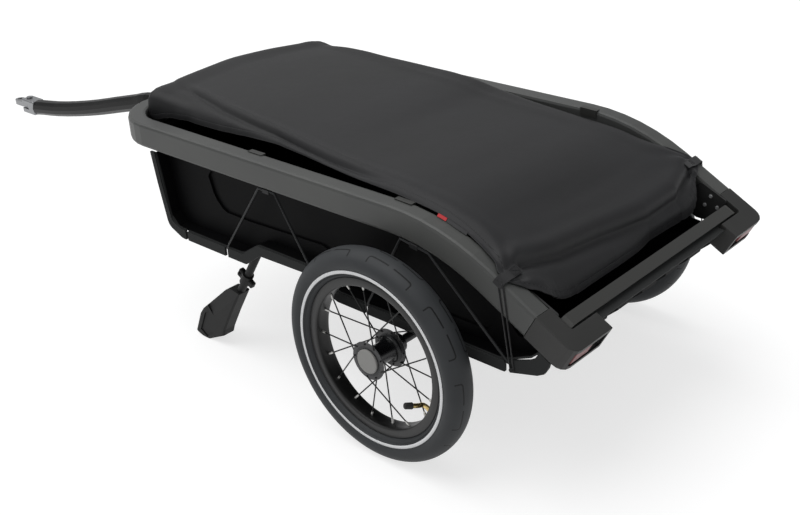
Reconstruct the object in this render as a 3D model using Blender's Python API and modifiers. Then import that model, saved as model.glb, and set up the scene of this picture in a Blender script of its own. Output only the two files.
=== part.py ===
"""Bike cargo trailer, modelled in metres with +Z up and +X towards the bicycle.

Sizes are given from the wheel axle on the ground plane: x forward of the axle, y to the left, z up.
The empty trailer_origin moves that frame so that the origin of the finished part is below its centre.
"""
import math

import bmesh
import bpy
from mathutils import Matrix, Vector

GAP = 0.0003                    # clearance between pieces that touch
RUNNING = 0.0004                # radial clearance of a turning or sliding fit

# Wheels, a 16 inch size with a balloon tyre
WHEEL_R = 0.205
WHEEL_Y = 0.364                 # wheel plane from the centre line
WHEEL_STEPS = 36
RIM_EDGE_R = 0.154
RIM_INNER_R = 0.137
RIM_BED_R = 0.1465
RIM_HALF_W = 0.0172
RIM_WALL = 0.002
TYRE_HALF_W = 0.029
STRIPE_R = 0.1673               # middle of the reflective band on the sidewall
STRIPE_W = 0.006
STRIPE_T = 0.0005
SIDEWALL_Y = 0.025              # flat land of the sidewall that carries the band
SPOKES = 18
SPOKE_R = 0.001
SPOKE_SWEEP = math.radians(40)  # hub hole ahead of or behind its nipple
NIPPLE_R = 0.0021
NIPPLE_LEN = 0.012
HUB_OUTER_FLANGE = 0.0245       # from the wheel plane, outboard positive
HUB_INNER_FLANGE = -0.032
FLANGE_R = 0.037
FLANGE_HALF_T = 0.0013
SPOKE_CIRCLE_R = 0.0325
BARREL_R = 0.0205
HUB_STEPS = 18
HUB_INNER_END = 0.3068
BEARING_R = 0.014
BEARING_W = 0.008
PIN_R = 0.006                   # quick release axle pin
BUTTON_R = 0.0234
BUTTON_FACE_Y = 0.3936
BUTTON_STEM_R = 0.0026
VALVE_R = 0.004                 # cap
VALVE_STEM_R = 0.0028
VALVE_LEN = 0.024
VALVE_ANGLE = math.radians(-150)
VALVE_BEND = math.radians(60)
SPOKE_PHASE = 0.0               # degrees of the first nipple

# Top rail, a rectangular aluminium tube bent round the front and down at the rear
RAIL_TOP = 0.471
RAIL_W = 0.038
RAIL_H = 0.051
RAIL_OUTER_Y = 0.312
RAIL_FRONT_X = 0.8235
RAIL_CORNER_R = 0.122           # outer radius of the front corners
RAIL_EDGE_R = 0.006
BEND_X = 0.010                  # where the rear bend starts
BEND_R = 0.450                  # top surface radius of the rear bend
SLOPE = math.radians(29)
SEAM_X = -0.302                 # joint between rail and rear cap, on the top surface
REAR_X = -0.377                 # rear face of the caps, on the top surface
CAP_TONGUE = 0.022
CAP_TONGUE_WALL = 0.004
CAP_CORNER_R = 0.022
CAP_ARM_END_Y = 0.205
CAP_ARM_W = 0.0366
LENS_Y = (0.246, 0.297)
POCKET_Y = (0.2115, 0.300)
POCKET_Z = (-0.042, -0.009)     # below the top surface, square to the slope
POCKET_DEPTH = 0.008
LENS_T = 0.006

# Cross bar between the rails
BAR_T = 0.003
BAR_FRONT_S = -0.0229           # along the slope from the seam, forward positive
BAR_REAR_S = -0.0457
BAR_BEND_R = 0.020
BAR_TAB_H = 0.040
BOLT_R = 0.0045
BOLT_H = 0.0025
HANGER_T = 0.004                # rear hanger plates

# Tub
TUB_EDGE_Y = 0.312
TUB_T = 0.003
LIP_T = 0.0055
WALL_OUTER_Y = 0.2772
FLOOR_RIBS = (0.039, 0.117, 0.195)
RIB_HALF_W = 0.009
RIB_SLOPE_W = 0.008
LOBE_DEPTH = 0.012
LOBE_EDGE_Y = 0.264
FLANGE_W = 0.0165               # tub flange under the rail
FRONT_FLANGE_W = 0.0145         # the same under the rail's front
WALL_STEP = 0.0045              # depth of the stepped panel in the side wall
TUB_FLOOR_Z = 0.258             # middle of the sheet at the ribs
TUB_RECESS_Z = 0.290            # the same over the stand

# Stay rods
STAY_R = 0.0027
STAY_Y = 0.3085
HOOK_BEND = 0.002
STAY_FRONT = (0.465, 0.345, 0.301, 0.200)
STAY_REAR = (0.075, -0.017, -0.079, -0.245)

# Axle beam
BEAM_R = 0.0085
BEAM_END_Y = 0.306
PIN_SEAT = 0.045
BRACKET_Y = 0.234
BRACKET_W = 0.030

# Drawbar and hitch
DRAWBAR_R = 0.0193
DRAWBAR_BORE_R = 0.0165
DRAWBAR_Y = 0.154
STUB_LEN = 0.050
SOCKET_PLATE = 0.004
LOCK_R = 0.004
HITCH_X = 1.4150                # hitch pin
HITCH_Z = 0.325
HITCH_PIN_R = 0.004
TONGUE_R = 0.0120
TONGUE_T = 0.0120

# Stand
STAND_Y = 0.288
STAND_PIVOT = (0.3926, 0.259)
STAND_LEG_LEN = 0.088
STAND_LEG_R = 0.0085
STAND_ANGLE = math.radians(57)
STAND_EAR_R = 0.009
FOOT_HALF_W = 0.016

# Cover
COVER_T = 0.0015
COVER_LIFT = 0.0025             # underside above the rail where the cover lies on it
TAB_S = (0.066, 0.096)
TAB_RISE = 0.0050
TAB_END_Y = 0.3155
LOOP_R = 0.0012
LOOP_Y = 0.3138
PEG = (-0.256, 0.2490)          # peg on the tub's lip for the elastic loop
PEG_R = 0.0022
PEG_END_Y = 0.3172
CLIP_T = 0.0015

FRONT_TIP = 1.4770              # foremost point, the end of the hitch tongue


def linear(level):
    """Colour channel from a screen level of 0 to 255."""
    c = level / 255
    return c / 12.92 if c <= 0.04045 else ((c + 0.055) / 1.055) ** 2.4


def material(name, rgb, roughness, metallic=0.0):
    mat = bpy.data.materials.new(name)
    mat.use_nodes = True
    shader = mat.node_tree.nodes["Principled BSDF"]
    shader.inputs["Base Color"].default_value = [linear(v) for v in rgb] + [1.0]
    shader.inputs["Roughness"].default_value = roughness
    shader.inputs["Metallic"].default_value = metallic
    mat.diffuse_color = shader.inputs["Base Color"].default_value
    return mat


def start_scene():
    for obj in list(bpy.data.objects):
        bpy.data.objects.remove(obj, do_unlink=True)
    made = []
    for name in ("bike_cargo_trailer", "guides"):
        col = bpy.data.collections.new(name)
        bpy.context.scene.collection.children.link(col)
        made.append(col)
    empty = bpy.data.objects.new("trailer_origin", None)
    made[0].objects.link(empty)
    return made[0], made[1], empty


PARTS, GUIDES, ORIGIN = start_scene()

FINISH = {
    "rail_grey": material("rail_grey", (88, 88, 86), 0.45, 0.6),
    "cap_plastic": material("cap_plastic", (70, 68, 65), 0.5),
    "bar_grey": material("bar_grey", (84, 82, 79), 0.45, 0.5),
    "tub_plastic": material("tub_plastic", (45, 46, 48), 0.6),
    "cover_fabric": material("cover_fabric", (66, 67, 70), 0.9),
    "webbing": material("webbing", (40, 41, 43), 0.9),
    "lens_red": material("lens_red", (196, 92, 92), 0.25),
    "steel": material("steel", (150, 150, 150), 0.35, 1.0),
    "rod_grey": material("rod_grey", (96, 97, 99), 0.4, 0.8),
    "tyre_rubber": material("tyre_rubber", (62, 63, 65), 0.8),
    "reflective_band": material("reflective_band", (214, 216, 218), 0.4),
    "rim_black": material("rim_black", (40, 41, 43), 0.4, 0.5),
    "spoke_black": material("spoke_black", (48, 49, 51), 0.4, 0.7),
    "nipple_bright": material("nipple_bright", (196, 196, 194), 0.3, 1.0),
    "hub_black": material("hub_black", (34, 36, 40), 0.3, 0.5),
    "button_grey": material("button_grey", (186, 184, 180), 0.5),
    "brass": material("brass", (150, 124, 74), 0.35, 1.0),
    "black_rubber": material("black_rubber", (28, 28, 29), 0.8),
    "drawbar_grey": material("drawbar_grey", (92, 91, 88), 0.4, 0.8),
    "stand_grey": material("stand_grey", (78, 78, 79), 0.5, 0.2),
    "elastic": material("elastic", (52, 53, 55), 0.9),
}


def baked(obj):
    """Turn an object and its modifiers into one closed mesh with its faces pointing out."""
    bpy.context.view_layer.update()
    shape = obj.evaluated_get(bpy.context.evaluated_depsgraph_get())
    mesh = bpy.data.meshes.new_from_object(shape)
    bm = bmesh.new()
    bm.from_mesh(mesh)
    bmesh.ops.remove_doubles(bm, verts=bm.verts, dist=0.00001)
    bmesh.ops.dissolve_degenerate(bm, edges=bm.edges, dist=0.000005)
    bmesh.ops.recalc_face_normals(bm, faces=bm.faces)
    bm.to_mesh(mesh)
    bm.free()
    new = bpy.data.objects.new(obj.name, mesh)
    GUIDES.objects.link(new)
    new.matrix_world = obj.matrix_world
    bpy.data.objects.remove(obj, do_unlink=True)
    return new


def blank(mesh, name="blank"):
    obj = bpy.data.objects.new(name, mesh)
    GUIDES.objects.link(obj)
    return obj


def from_bmesh(bm):
    mesh = bpy.data.meshes.new("blank")
    bm.to_mesh(mesh)
    bm.free()
    return blank(mesh)


def block(low, high, edge=0.0, segments=2):
    """Box between two corners, with rounded edges where edge is given."""
    low = Vector(low)
    high = Vector(high)
    bm = bmesh.new()
    size = high - low
    place = Matrix.Translation((low + high) / 2) @ Matrix.Diagonal((size.x, size.y, size.z, 1))
    bmesh.ops.create_cube(bm, size=1.0, matrix=place)
    obj = from_bmesh(bm)
    return rounded(obj, edge, segments) if edge else obj


def rounded(obj, width, segments=2, angle=math.radians(40)):
    bevel = obj.modifiers.new("edges", "BEVEL")
    bevel.width = width
    bevel.segments = segments
    bevel.limit_method = "ANGLE"
    bevel.angle_limit = angle
    return baked(obj)


def rod(start, end, radius, sides=16, end_radius=None):
    """Solid cylinder or cone from one point to another."""
    start = Vector(start)
    axis = Vector(end) - start
    turn = axis.to_track_quat("Z", "Y").to_matrix().to_4x4()
    place = Matrix.Translation(start + axis / 2) @ turn
    bm = bmesh.new()
    bmesh.ops.create_cone(bm, cap_ends=True, segments=sides, radius1=radius,
                          radius2=radius if end_radius is None else end_radius,
                          depth=axis.length, matrix=place)
    return from_bmesh(bm)


def turned(profile, steps):
    """Ring or solid turned about Y from a closed outline of (radius, y) points."""
    mesh = bpy.data.meshes.new("profile")
    count = len(profile)
    mesh.from_pydata([(r, 0, y) for r, y in profile], [(i, (i + 1) % count) for i in range(count)], [])
    obj = blank(mesh)
    screw = obj.modifiers.new("turn", "SCREW")
    screw.axis = "Z"
    screw.steps = steps
    screw.render_steps = steps
    screw.use_merge_vertices = True
    screw.merge_threshold = 0.00001
    obj.rotation_euler.x = -math.pi / 2
    return settled(baked(obj))


def settled(obj):
    """Move an object's transform into its mesh."""
    bpy.context.view_layer.update()
    obj.data.transform(obj.matrix_world)
    obj.matrix_world = Matrix.Identity(4)
    return obj


def plate(outlines, low, high, plane="XZ"):
    """Flat piece from closed outlines; later outlines are holes. It spans low to high across the plane."""
    curve = bpy.data.curves.new("outline", "CURVE")
    curve.dimensions = "2D"
    curve.fill_mode = "BOTH"
    curve.extrude = (high - low) / 2
    for points in outlines:
        spline = curve.splines.new("POLY")
        spline.points.add(len(points) - 1)
        spline.use_cyclic_u = True
        for point, (u, v) in zip(spline.points, points):
            point.co = (u, v, 0, 1)
    obj = blank(curve)
    middle = (low + high) / 2
    if plane == "XZ":
        obj.matrix_world = Matrix.Translation((0, middle, 0)) @ Matrix.Rotation(math.pi / 2, 4, "X")
    elif plane == "YZ":
        turn = Matrix(((0, 0, 1, 0), (1, 0, 0, 0), (0, 1, 0, 0), (0, 0, 0, 1)))
        obj.matrix_world = Matrix.Translation((middle, 0, 0)) @ turn
    else:
        obj.matrix_world = Matrix.Translation((0, 0, middle))
    return settled(baked(obj))


def tube(points, radius, resolution=2, cyclic=False):
    """Round bar along a list of points."""
    curve = bpy.data.curves.new("route", "CURVE")
    curve.dimensions = "3D"
    curve.bevel_depth = radius
    curve.bevel_resolution = resolution
    curve.use_fill_caps = not cyclic
    spline = curve.splines.new("POLY")
    spline.points.add(len(points) - 1)
    spline.use_cyclic_u = cyclic
    for point, place in zip(spline.points, points):
        point.co = (*place, 1)
    return settled(baked(blank(curve)))


def boolean(obj, tool, operation):
    mod = obj.modifiers.new(operation.lower(), "BOOLEAN")
    mod.operation = operation
    mod.solver = "EXACT"
    mod.object = tool
    tool.hide_render = True
    tool.display_type = "WIRE"
    new = baked(obj)
    bpy.data.objects.remove(tool, do_unlink=True)
    return new


def cut(obj, *tools):
    for tool in tools:
        obj = boolean(obj, tool, "DIFFERENCE")
    return obj


def join(obj, *others):
    for other in others:
        obj = boolean(obj, other, "UNION")
    return obj


def group(*objs):
    """Several separate solids in one mesh."""
    bm = bmesh.new()
    for obj in objs:
        bm.from_mesh(obj.data)
        bpy.data.objects.remove(obj, do_unlink=True)
    return from_bmesh(bm)


def copy_of(obj, matrix=None):
    new = blank(obj.data.copy())
    if matrix is not None:
        new.data.transform(matrix)
        if matrix.determinant() < 0:
            new.data.flip_normals()
    return new


def smooth(mesh, angle=math.radians(35)):
    mesh.shade_smooth()
    mesh.set_sharp_from_angle(angle=angle)


def finish(obj, name, finish_name, origin=(0, 0, 0), turn=0.0):
    """Name a piece and put it among the parts, its origin where it is given, turned about Y."""
    place = Matrix.Translation(origin) @ Matrix.Rotation(turn, 4, "Y")
    obj.data.transform(place.inverted())
    obj.name = name
    obj.data.name = name
    obj.data.materials.clear()
    obj.data.materials.append(FINISH[finish_name])
    smooth(obj.data)
    GUIDES.objects.unlink(obj)
    PARTS.objects.link(obj)
    obj.parent = ORIGIN
    obj.location = origin
    obj.rotation_euler = (0, turn, 0)
    return obj


MIRROR_Y = Matrix.Scale(-1, 4, (0, 1, 0))


def pair(obj, name, finish_name, origin=(0, 0, 0)):
    """Left piece as made and its mirror image on the right."""
    other = copy_of(obj, MIRROR_Y)
    finish(obj, name + "_left", finish_name, origin)
    finish(other, name + "_right", finish_name, (origin[0], -origin[1], origin[2]))


def arc(centre, radius, start, end, steps):
    """Points on a circular arc, both ends included; angles in degrees."""
    out = []
    for i in range(steps + 1):
        angle = math.radians(start + (end - start) * i / steps)
        out.append((centre[0] + radius * math.cos(angle), centre[1] + radius * math.sin(angle)))
    return out


def rounded_outline(corners, steps=3):
    """Outline with filleted corners, each corner given as (u, v, radius)."""
    out = []
    count = len(corners)
    for i, (u, v, radius) in enumerate(corners):
        here = Vector((u, v))
        back = (Vector(corners[i - 1][:2]) - here).normalized()
        ahead = (Vector(corners[(i + 1) % count][:2]) - here).normalized()
        if radius <= 0:
            out.append((u, v))
            continue
        half = back.angle(ahead) / 2
        reach = radius / math.tan(half)
        centre = here + (back + ahead).normalized() * (radius / math.sin(half))
        a = here + back * reach - centre
        b = here + ahead * reach - centre
        sweep = a.angle_signed(b)
        for k in range(steps + 1):
            p = a.copy()
            p.rotate(Matrix.Rotation(-sweep * k / steps, 2))
            out.append(tuple(centre + p))
    return out


# Places along the rail

SLOPE_DIR = Vector((math.cos(SLOPE), 0, math.sin(SLOPE)))     # up and forward along the rear slope
SLOPE_UP = Vector((-math.sin(SLOPE), 0, math.cos(SLOPE)))
BEND_CENTRE = Vector((BEND_X, 0, RAIL_TOP - BEND_R))
BEND_END = BEND_CENTRE + SLOPE_UP * BEND_R
SEAM = BEND_END - SLOPE_DIR * ((BEND_END.x - SEAM_X) / math.cos(SLOPE))
REAR_S = -(SEAM_X - REAR_X) / math.cos(SLOPE)                 # rear face along the slope from the seam


def on_slope(s, y, depth):
    """Point in the frame of the rear slope: s forward from the seam, depth below the top surface."""
    return SEAM + SLOPE_DIR * s - SLOPE_UP * depth + Vector((0, y, 0))


def slope_place(obj):
    """Take a piece made in slope coordinates (s, y, height) to its place."""
    turn = Matrix.Translation(SEAM) @ Matrix.Rotation(-SLOPE, 4, "Y")
    obj.data.transform(turn)
    return obj


def rail_line(depth, steps=6):
    """Side view of a line that runs depth below the rail's top, from the seam to the start of the bend."""
    radius = BEND_R - depth
    points = [SEAM - SLOPE_UP * depth]
    for i in range(steps + 1):
        angle = SLOPE * (1 - i / steps)
        points.append(BEND_CENTRE + Vector((-math.sin(angle), 0, math.cos(angle))) * radius)
    return points


def rail_under(x):
    """Height of the rail's underside above the ground at a place ahead of the seam."""
    if x >= BEND_X:
        return RAIL_TOP - RAIL_H
    radius = BEND_R - RAIL_H
    if x >= BEND_CENTRE.x - radius * math.sin(SLOPE):
        return BEND_CENTRE.z + math.sqrt(radius ** 2 - (x - BEND_X) ** 2)
    start = BEND_CENTRE + SLOPE_UP * radius
    return start.z + (x - start.x) * math.tan(SLOPE)


def rail_top(x):
    """Height of the rail's top surface."""
    if x >= BEND_X:
        return RAIL_TOP
    if x >= BEND_END.x:
        return BEND_CENTRE.z + math.sqrt(BEND_R ** 2 - (x - BEND_X) ** 2)
    return BEND_END.z + (x - BEND_END.x) * math.tan(SLOPE)


def section_curve(width, height, edge):
    """Closed 2D outline used as the section of the rail."""
    w = width / 2
    h = height / 2
    points = rounded_outline([(-w, -h, edge), (w, -h, edge), (w, h, edge), (-w, h, edge)], 2)
    curve = bpy.data.curves.new("rail_section", "CURVE")
    curve.dimensions = "2D"
    curve.fill_mode = "NONE"
    spline = curve.splines.new("POLY")
    spline.points.add(len(points) - 1)
    spline.use_cyclic_u = True
    for point, (u, v) in zip(spline.points, points):
        point.co = (u, v, 0, 1)
    return blank(curve, "rail_section")


def sweep(points, section):
    curve = bpy.data.curves.new("rail_route", "CURVE")
    curve.dimensions = "3D"
    curve.twist_mode = "Z_UP"
    curve.bevel_mode = "OBJECT"
    curve.bevel_object = section
    curve.use_fill_caps = True
    spline = curve.splines.new("POLY")
    spline.points.add(len(points) - 1)
    for point, place in zip(spline.points, points):
        point.co = (*place, 1)
    obj = settled(baked(blank(curve)))
    bpy.data.objects.remove(section, do_unlink=True)
    return obj


def make_rail():
    mid_y = RAIL_OUTER_Y - RAIL_W / 2
    left = [Vector((p.x, mid_y, p.z)) for p in rail_line(RAIL_H / 2)]
    z = RAIL_TOP - RAIL_H / 2
    centre = (RAIL_FRONT_X - RAIL_CORNER_R, RAIL_OUTER_Y - RAIL_CORNER_R)
    corner = arc(centre, RAIL_CORNER_R - RAIL_W / 2, 90, 0, 8)
    left += [Vector((x, y, z)) for x, y in corner]
    right = [Vector((p.x, -p.y, p.z)) for p in reversed(left)]
    rail = sweep(left + right, section_curve(RAIL_W, RAIL_H, RAIL_EDGE_R))
    wall = CAP_TONGUE_WALL - GAP
    for side in (1, -1):
        pocket = block((-0.01, side * mid_y - RAIL_W / 2 + wall, -RAIL_H + wall),
                       (CAP_TONGUE + GAP, side * mid_y + RAIL_W / 2 - wall, -wall))
        rail = cut(rail, slope_place(pocket))
    finish(rail, "top_rail", "rail_grey")


def make_rear_caps():
    inner_y = RAIL_OUTER_Y - RAIL_W
    arm_front = REAR_S + CAP_ARM_W
    outline = rounded_outline([
        (-GAP, RAIL_OUTER_Y, 0), (REAR_S, RAIL_OUTER_Y, CAP_CORNER_R),
        (REAR_S, CAP_ARM_END_Y, 0), (arm_front, CAP_ARM_END_Y, 0),
        (arm_front, inner_y, 0.004), (-GAP, inner_y, 0)], 4)
    cap = plate([outline], -RAIL_H, 0.0, "XY")
    cap = rounded(cap, RAIL_EDGE_R, 2, math.radians(60))
    wall = CAP_TONGUE_WALL
    tongue = block((-0.012, inner_y + wall, -RAIL_H + wall),
                   (CAP_TONGUE, RAIL_OUTER_Y - wall, -wall))
    cap = join(cap, tongue)
    pocket = block((REAR_S - 0.01, POCKET_Y[0], POCKET_Z[0]),
                   (REAR_S + POCKET_DEPTH, POCKET_Y[1], POCKET_Z[1]), 0.004, 2)
    cap = slope_place(cut(cap, pocket))
    pair(cap, "rear_cap", "cap_plastic")
    lens = block((REAR_S + POCKET_DEPTH - GAP - LENS_T, LENS_Y[0], POCKET_Z[0] + 0.003),
                 (REAR_S + POCKET_DEPTH - GAP, LENS_Y[1], POCKET_Z[1] - 0.003), 0.0025, 2)
    pair(slope_place(lens), "reflector", "lens_red")


def bolt_head(place, axis, radius=BOLT_R, height=BOLT_H):
    """Low tapered head that stands on place and looks along axis, its root sunk 1 mm."""
    place = Vector(place)
    axis = Vector(axis).normalized()
    return rod(place - axis * 0.001, place + axis * height, radius, 8, radius * 0.72)


def make_cross_bar():
    half = RAIL_OUTER_Y - RAIL_W - GAP
    outer = arc((half - BAR_BEND_R, -BAR_BEND_R), BAR_BEND_R, 0, 90, 4)
    inner = arc((half - BAR_BEND_R, -BAR_BEND_R), BAR_BEND_R - BAR_T, 90, 0, 4)
    left = [(half, -BAR_TAB_H)] + outer
    back = inner + [(half - BAR_T, -BAR_TAB_H)]
    outline = left + [(-y, z) for y, z in reversed(left)]
    outline += [(-y, z) for y, z in reversed(back)] + back
    bar = slope_place(plate([outline], BAR_REAR_S, BAR_FRONT_S, "YZ"))
    middle = (BAR_FRONT_S + BAR_REAR_S) / 2
    for side in (1, -1):
        for depth in (0.018, 0.031):
            place = on_slope(middle, side * (half - BAR_T), depth)
            bar = join(bar, bolt_head(place, (0, -side, 0), 0.0035, 0.002))
    finish(bar, "cross_bar", "bar_grey")


def make_hangers():
    """Plates inside the rails, with their bolts, that carry the rear of the tub."""
    face = RAIL_OUTER_Y - RAIL_W - GAP
    outline = rounded_outline([
        (-0.0190, 0.0, 0.004), (0.0420, -0.004, 0.006), (0.0560, -0.040, 0.010),
        (0.0500, -0.084, 0.004), (0.0380, -0.084, 0.003), (0.0340, -0.072, 0.003),
        (0.0100, -0.072, 0.003), (-0.0190, -0.056, 0.006)], 2)
    shape = plate([outline], face - HANGER_T, face, "XZ")
    shape = slope_place(shape)
    for s, depth in ((0.0107, 0.014), (0.0107, 0.037), (-0.012, 0.024)):
        shape = join(shape, bolt_head(on_slope(s, face - HANGER_T, depth), (0, -1, 0)))
    pair(shape, "rear_hanger", "rail_grey")


# Tub

def tub_profile():
    """Side view of the tub sheet at the level of its ribs, from the front top to the rear rim."""
    floor = TUB_FLOOR_Z
    recess = TUB_RECESS_Z
    return rounded_outline([
        (0.6640, 0.4165, 0), (0.6560, 0.3720, 0.08), (0.6400, floor + 0.003, 0.025),
        (0.6060, floor, 0.02), (0.4150, floor, 0.02), (0.3660, recess, 0.015),
        (0.2300, recess, 0.015), (0.1450, floor, 0.02), (-0.2350, floor, 0.06),
        (-0.3000, 0.2880, 0.03), (-0.3270, 0.3330, 0), (-0.3520, 0.3265, 0)], 1)


def lip_profiles():
    """Outer and inner edges of the tub's side lips in side view."""
    outer = rounded_outline([
        (0.6780, 0.4165, 0), (0.6680, 0.3500, 0.10), (0.6500, 0.2560, 0.020),
        (0.6080, 0.2375, 0.020), (0.4050, 0.2375, 0.012), (0.3620, 0.2690, 0.010),
        (0.2350, 0.2720, 0.015), (0.1500, 0.2385, 0.015), (-0.2400, 0.2375, 0.05),
        (-0.3220, 0.2600, 0.03), (-0.3420, 0.3300, 0)], 2)
    inner = rounded_outline([
        (0.6640, 0.4165, 0), (0.6550, 0.3500, 0.10), (0.6370, 0.2680, 0.018),
        (0.6060, 0.2575, 0.020), (0.4150, 0.2575, 0.012), (0.3660, 0.2895, 0.010),
        (0.2300, 0.2895, 0.015), (0.1450, 0.2575, 0.015), (-0.2360, 0.2575, 0.04),
        (-0.3020, 0.2830, 0.03), (-0.3200, 0.3300, 0)], 2)
    return outer, inner


def lobe(y):
    """How far the sheet hangs below its ribs, from 0 on a rib to 1 between ribs."""
    y = abs(y)
    near = min(abs(y - rib) for rib in FLOOR_RIBS) - RIB_HALF_W
    near = min(near, LOBE_EDGE_Y - y)
    return max(0.0, min(1.0, near / RIB_SLOPE_W))


def tub_columns():
    stations = [0.0]
    for rib in FLOOR_RIBS:
        reach = RIB_HALF_W + RIB_SLOPE_W
        stations += [rib - reach, rib - RIB_HALF_W, rib + RIB_HALF_W, rib + reach]
    stations += [LOBE_EDGE_Y - RIB_SLOPE_W, LOBE_EDGE_Y, TUB_EDGE_Y - LIP_T / 2]
    return [-y for y in reversed(stations[1:])] + stations


def lobe_depth(share):
    """Depth of the channels along the profile: shallow up the front wall, deepest at the rear."""
    if share < 0.20:
        return LOBE_DEPTH * share / 0.20
    if share > 0.95:
        return 0.0
    return LOBE_DEPTH * (1.4 if share > 0.88 else 1.0)


def tub_sheet():
    profile = [Vector(p) for p in tub_profile()]
    lengths = [0.0]
    for a, b in zip(profile, profile[1:]):
        lengths.append(lengths[-1] + (b - a).length)
    columns = tub_columns()
    bm = bmesh.new()
    rows = []
    for i, point in enumerate(profile):
        before = profile[max(i - 1, 0)]
        after = profile[min(i + 1, len(profile) - 1)]
        along = (after - before).normalized()
        down = Vector((-along.y, along.x))
        depth = lobe_depth(lengths[i] / lengths[-1])
        row = []
        for y in columns:
            place = point + down * depth * lobe(y)
            row.append(bm.verts.new((place.x, y, place.y)))
        rows.append(row)
    for low, high in zip(rows, rows[1:]):
        for k in range(len(columns) - 1):
            bm.faces.new((low[k], low[k + 1], high[k + 1], high[k]))
    bmesh.ops.recalc_face_normals(bm, faces=bm.faces)
    sheet = from_bmesh(bm)
    solid = sheet.modifiers.new("wall", "SOLIDIFY")
    solid.thickness = TUB_T
    solid.offset = 0
    return baked(sheet)


def tub_lip():
    outer, inner = lip_profiles()
    return plate([outer + list(reversed(inner))], TUB_EDGE_Y - LIP_T, TUB_EDGE_Y)


def wall_top():
    """Upper edge of the side wall: along the rail, then down to the rear rim."""
    low = [(-0.3050, 0.3000), (-0.2850, 0.2930), (-0.2450, 0.2980), (-0.2150, 0.3300)]
    under = [(x, rail_under(x) - 2 * GAP) for x in (-0.180, -0.120, -0.060)]
    return low + under + [(BEND_X, rail_under(BEND_X) - GAP), (0.6650, rail_under(0.665) - GAP)]


def tub_wall():
    """Left side wall with its stepped, deeper panel and the flange under the rail."""
    inner_y = RAIL_OUTER_Y - RAIL_W
    low = [p for p in tub_profile() if p[0] > -0.325]
    wall = plate([low + wall_top()], inner_y, WALL_OUTER_Y)
    panel = rounded_outline([
        (0.5360, 0.4000, 0.01), (0.5190, 0.3440, 0.03), (0.4930, 0.3180, 0.02),
        (0.4170, 0.3170, 0.03), (0.2040, 0.3260, 0.02), (0.1500, 0.2850, 0.02),
        (-0.1900, 0.2820, 0.012), (-0.1950, 0.3200, 0.010), (-0.0900, 0.3800, 0.06),
        (0.0200, 0.4000, 0.03)], 1)
    raised = [(x, z - 0.001) for x, z in low] + [(x, z - 0.003) for x, z in wall_top()]
    skin = plate([raised, panel], WALL_OUTER_Y - 0.001, WALL_OUTER_Y + WALL_STEP)
    top = rail_under(0.3) - GAP
    flange = block((0.030, inner_y + 0.0005, top - TUB_T), (0.640, inner_y + FLANGE_W, top - GAP))
    wall = join(wall, skin, flange)
    for x in (0.100, 0.240, 0.410, 0.560):
        wall = join(wall, bolt_head((x, inner_y + FLANGE_W * 0.68, top - TUB_T), (0, 0, -1)))
    return wall


def front_flange():
    """Shelf of the tub that is bolted up under the front of the rail."""
    top = RAIL_TOP - RAIL_H - GAP
    front = RAIL_FRONT_X - RAIL_W + FRONT_FLANGE_W
    side = RAIL_OUTER_Y - RAIL_W + FRONT_FLANGE_W
    corner = RAIL_CORNER_R - RAIL_W + FRONT_FLANGE_W
    outline = rounded_outline([(0.6550, -side, 0), (front, -side, corner), (front, side, corner),
                               (0.6550, side, 0)], 3)
    shelf = plate([outline], top - LIP_T + 0.001, top, "XY")
    for y in (-0.170, 0.0, 0.170):
        shelf = join(shelf, bolt_head((front - BOLT_R - 0.002, y, top - LIP_T + 0.001), (0, 0, -1)))
    return shelf


def notch(x, lean):
    """Cutter for a notch in the left lip that follows a stay rod, lean forward per metre up."""
    half = (STAY_R + 3 * GAP) * math.sqrt(1 + lean ** 2)
    bend = hook_height() + HOOK_BEND
    top = TUB_RECESS_Z + 0.010
    shift = (top - bend) * lean
    outline = [(x - half, 0.22), (x + half, 0.22), (x + half, bend),
               (x + half + shift, top), (x - half + shift, top), (x - half, bend)]
    return plate([outline], STAY_Y - STAY_R - 0.0006, TUB_EDGE_Y + 0.002)


def hook_height():
    """Height of the stay rods' hooks below the tub's flange."""
    return TUB_FLOOR_Z - TUB_T / 2 - GAP - STAY_R


def lean_of(low_x, high_x):
    return (high_x - low_x) / (rail_run_height(high_x) - hook_height() - HOOK_BEND)


def make_tub():
    tub = join(tub_sheet(), front_flange())
    leans = [(0.592, 0.0), (STAY_FRONT[0], lean_of(*STAY_FRONT[:2])),
             (STAY_FRONT[3], lean_of(STAY_FRONT[3], STAY_FRONT[2])),
             (STAY_REAR[0], lean_of(*STAY_REAR[:2])),
             (STAY_REAR[3], lean_of(STAY_REAR[3], STAY_REAR[2]))]
    under = [(x, rail_under(x) - GAP) for x in (-0.42, -0.20, -0.15, -0.10, -0.05, BEND_X, 0.70)]
    for side in (1, -1):
        pieces = [tub_lip(), tub_wall()]
        peg = rod((PEG[0], TUB_EDGE_Y - 0.002, PEG[1]), (PEG[0], PEG_END_Y - 0.001, PEG[1]), PEG_R, 10)
        head = rod((PEG[0], PEG_END_Y - 0.0015, PEG[1]), (PEG[0], PEG_END_Y, PEG[1]), PEG_R + 0.0018, 10)
        pieces.append(join(peg, head))
        cutters = [notch(x, lean) for x, lean in leans]
        cutters.append(plate([under + [(0.70, 0.60), (-0.42, 0.60)]],
                             RAIL_OUTER_Y - RAIL_W - 2 * GAP, TUB_EDGE_Y + 0.02))
        cutters.append(slope_place(block((-0.12, 0.2665, -0.046), (BAR_FRONT_S + 0.002, 0.33, 0.03))))
        cutters.append(slope_place(block((-0.12, CAP_ARM_END_Y - 0.0015, -RAIL_H - 0.001),
                                         (REAR_S + CAP_ARM_W + 2 * GAP, 0.33, 0.03))))
        if side < 0:
            pieces = [mirrored(piece) for piece in pieces]
            cutters = [mirrored(cutter) for cutter in cutters]
        tub = cut(join(tub, *pieces), *cutters)
    finish(tub, "tub", "tub_plastic")


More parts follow.
